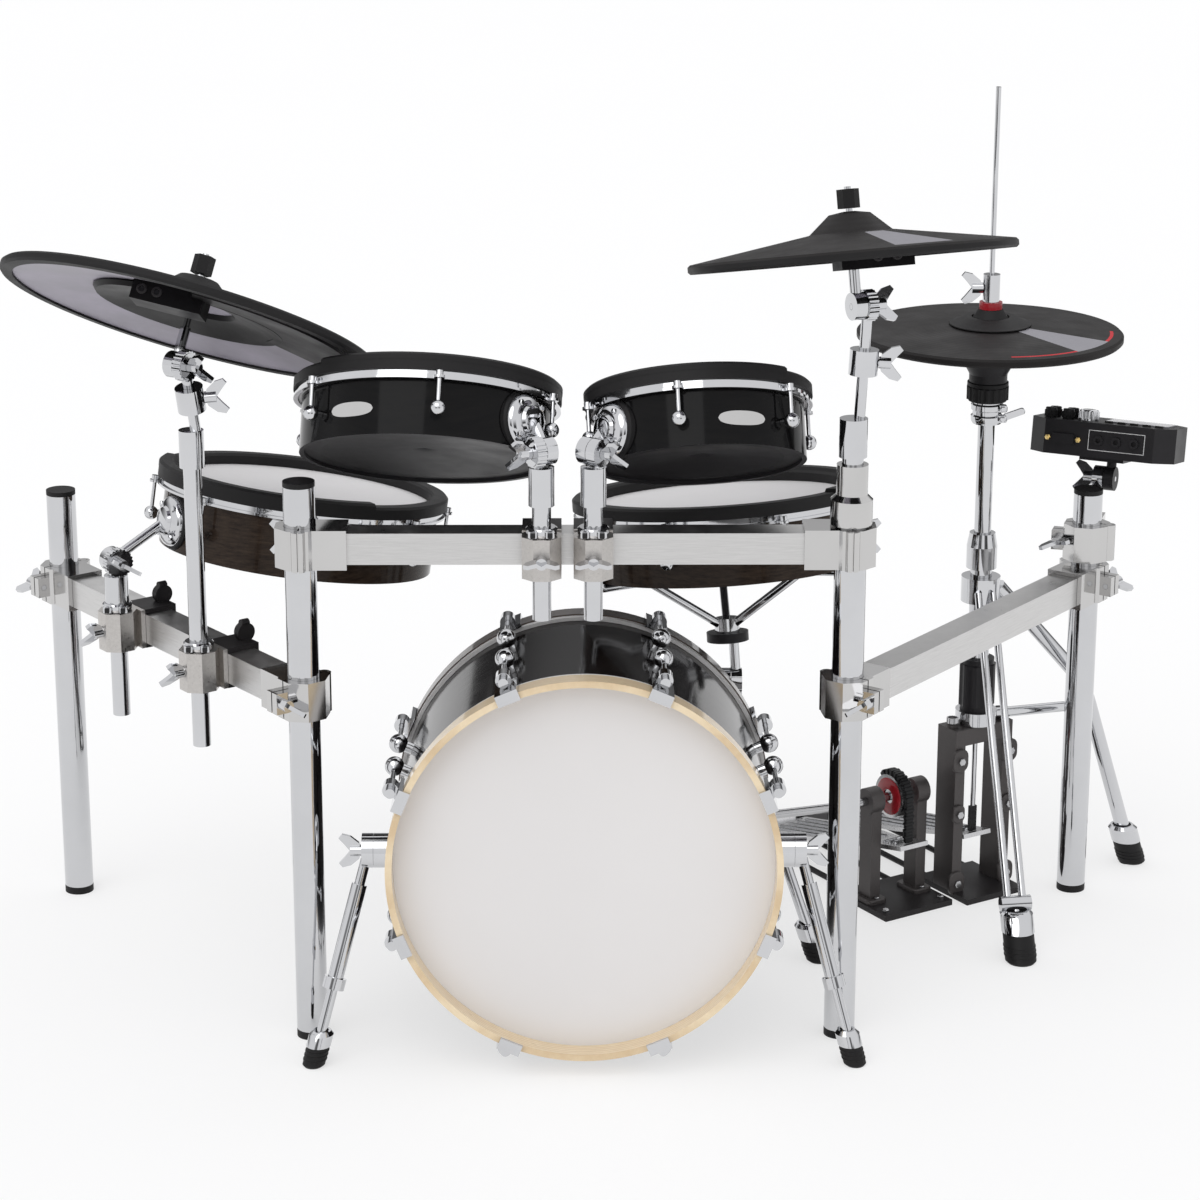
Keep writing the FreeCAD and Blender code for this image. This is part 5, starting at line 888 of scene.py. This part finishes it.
turning = MODULE @ Matrix.Translation((-0.022, -0.029, DIAL_FOOT))
dial.knurl(turning, 0.0130, 0.0139, 0.0006, 0.0030, 0.0125, 28)
dial.turn(turning, [(0.0124, 0.0138), (0.0112, 0.0150), (0.0060, 0.0146), (0.002, 0.0144)], closed=False)
dial.finish("module_dial_knurl", CHROME, "module_dial")

# Camera at the photograph's place
CAMERA_PLACE = kit(-0.00276, -3.77969, 1.72809)
CAMERA_PITCH, CAMERA_YAW, CAMERA_ROLL = math.radians(17.19), math.radians(0.479), math.radians(0.077)
FOCAL_PIXELS, IMAGE_PIXELS, SENSOR = 3345.0, 1200.0, 36.0
lens = bpy.data.cameras.new("photo_camera")
lens.sensor_width = SENSOR
lens.lens = SENSOR * FOCAL_PIXELS / IMAGE_PIXELS
camera = bpy.data.objects.new("photo_camera", lens)
turn = (Matrix.Rotation(-CAMERA_YAW, 4, "Z") @ Matrix.Rotation(math.pi / 2 - CAMERA_PITCH, 4, "X")
        @ Matrix.Rotation(CAMERA_ROLL, 4, "Z"))
camera.matrix_world = Matrix.Translation(CAMERA_PLACE) @ turn
bpy.context.scene.collection.objects.link(camera)
bpy.context.scene.camera = camera
bpy.context.scene.view_settings.view_transform = "Standard"

# Studio: pale floor, one broad soft lamp, and a room with bright and dark sides that the chrome can mirror
FLOOR_REACH = 60.0
# Share of plain white in the floor as the camera and mirrors see it; the rest is lit, and holds the shadow
FLOOR_GLOW = 0.62
SUN_STRENGTH, SUN_SPREAD, SUN_TURN, SUN_LEAN = 0.80, 50, -28, 38
floor_mesh = bpy.data.meshes.new("floor")
floor_mesh.from_pydata([(-FLOOR_REACH, -FLOOR_REACH, 0), (FLOOR_REACH, -FLOOR_REACH, 0), (FLOOR_REACH, FLOOR_REACH, 0),
                        (-FLOOR_REACH, FLOOR_REACH, 0)], [], [(0, 1, 2, 3)])
floor = bpy.data.objects.new("floor", floor_mesh)
bpy.context.scene.collection.objects.link(floor)
paper = Shader("pale_paper", (0.90, 0.90, 0.905), 0.8, sheen=0.1)
paper.tint(paper.noise(0.6, 3.0), 0.006)
glow = paper.add("ShaderNodeEmission")
glow.inputs["Color"].default_value = (1.0, 1.0, 1.0, 1.0)
glow.inputs["Strength"].default_value = 1.0
rays = paper.add("ShaderNodeLightPath")
mirrored = paper.math("MAXIMUM", rays.outputs["Is Glossy Ray"], rays.outputs["Is Transmission Ray"])
seen = paper.math("MAXIMUM", rays.outputs["Is Camera Ray"], mirrored)
blend = paper.add("ShaderNodeMixShader")
paper.link(paper.math("MULTIPLY", seen, FLOOR_GLOW), blend.inputs["Fac"])
paper.link(paper.surface.outputs["BSDF"], blend.inputs[1])
paper.link(glow.outputs["Emission"], blend.inputs[2])
paper.link(blend.outputs["Shader"], paper.tree.nodes["Material Output"].inputs["Surface"])
floor_mesh.materials.append(paper.material)

sun = bpy.data.lights.new("key_light", "SUN")
sun.energy = SUN_STRENGTH
sun.angle = math.radians(SUN_SPREAD)
key = bpy.data.objects.new("key_light", sun)
key.matrix_world = (Matrix.Rotation(math.radians(SUN_TURN), 4, "Z")
                    @ Matrix.Rotation(math.radians(SUN_LEAN), 4, "X"))
bpy.context.scene.collection.objects.link(key)

world = bpy.data.worlds.new("studio")
bpy.context.scene.world = world
world.use_nodes = True
tree = world.node_tree


def blend_colours(factor, first, second):
    item = tree.nodes.new("ShaderNodeMix")
    item.data_type = "RGBA"
    tree.links.new(factor, item.inputs["Factor"])
    for socket, value in zip([s for s in item.inputs if s.type == "RGBA"], (first, second)):
        if isinstance(value, tuple):
            socket.default_value = value
        else:
            tree.links.new(value, socket)
    return next(s for s in item.outputs if s.type == "RGBA")


def spread_value(value, low, high):
    item = tree.nodes.new("ShaderNodeMapRange")
    item.inputs["From Min"].default_value = low
    item.inputs["From Max"].default_value = high
    tree.links.new(value, item.inputs["Value"])
    return item.outputs["Result"]


direction = tree.nodes.new("ShaderNodeTexCoord")
axes = tree.nodes.new("ShaderNodeSeparateXYZ")
tree.links.new(direction.outputs["Generated"], axes.inputs["Vector"])
walls = tree.nodes.new("ShaderNodeValToRGB")
walls.color_ramp.interpolation = "EASE"
# Brightness of the room's walls from left to right, colours of its other sides, and where each takes over
BACK_WALL, CEILING, BACKDROP = (0.07, 0.07, 0.072, 1.0), (0.95, 0.95, 0.96, 1.0), (1.0, 1.0, 1.0, 1.0)
BACK_REACH, CEILING_REACH = (0.1, 0.6), (0.12, 0.42)
WALLS = [(0.0, 0.95), (0.17, 1.0), (0.25, 0.08), (0.36, 0.06), (0.43, 0.85), (0.55, 1.0), (0.64, 0.10), (0.76, 0.06),
         (0.84, 1.0), (1.0, 0.9)]
while len(walls.color_ramp.elements) < len(WALLS):
    walls.color_ramp.elements.new(0.5)
for element, (position, level) in zip(walls.color_ramp.elements, WALLS):
    element.position = position
    element.color = (level, level, level * 1.01, 1.0)
tree.links.new(spread_value(axes.outputs["X"], -1.0, 1.0), walls.inputs["Fac"])
sides = blend_colours(spread_value(axes.outputs["Y"], *BACK_REACH), walls.outputs["Color"], BACK_WALL)
room = blend_colours(spread_value(axes.outputs["Z"], *CEILING_REACH), sides, CEILING)
ray = tree.nodes.new("ShaderNodeLightPath")
backdrop = blend_colours(ray.outputs["Is Camera Ray"], room, BACKDROP)
tree.links.new(backdrop, tree.nodes["Background"].inputs["Color"])
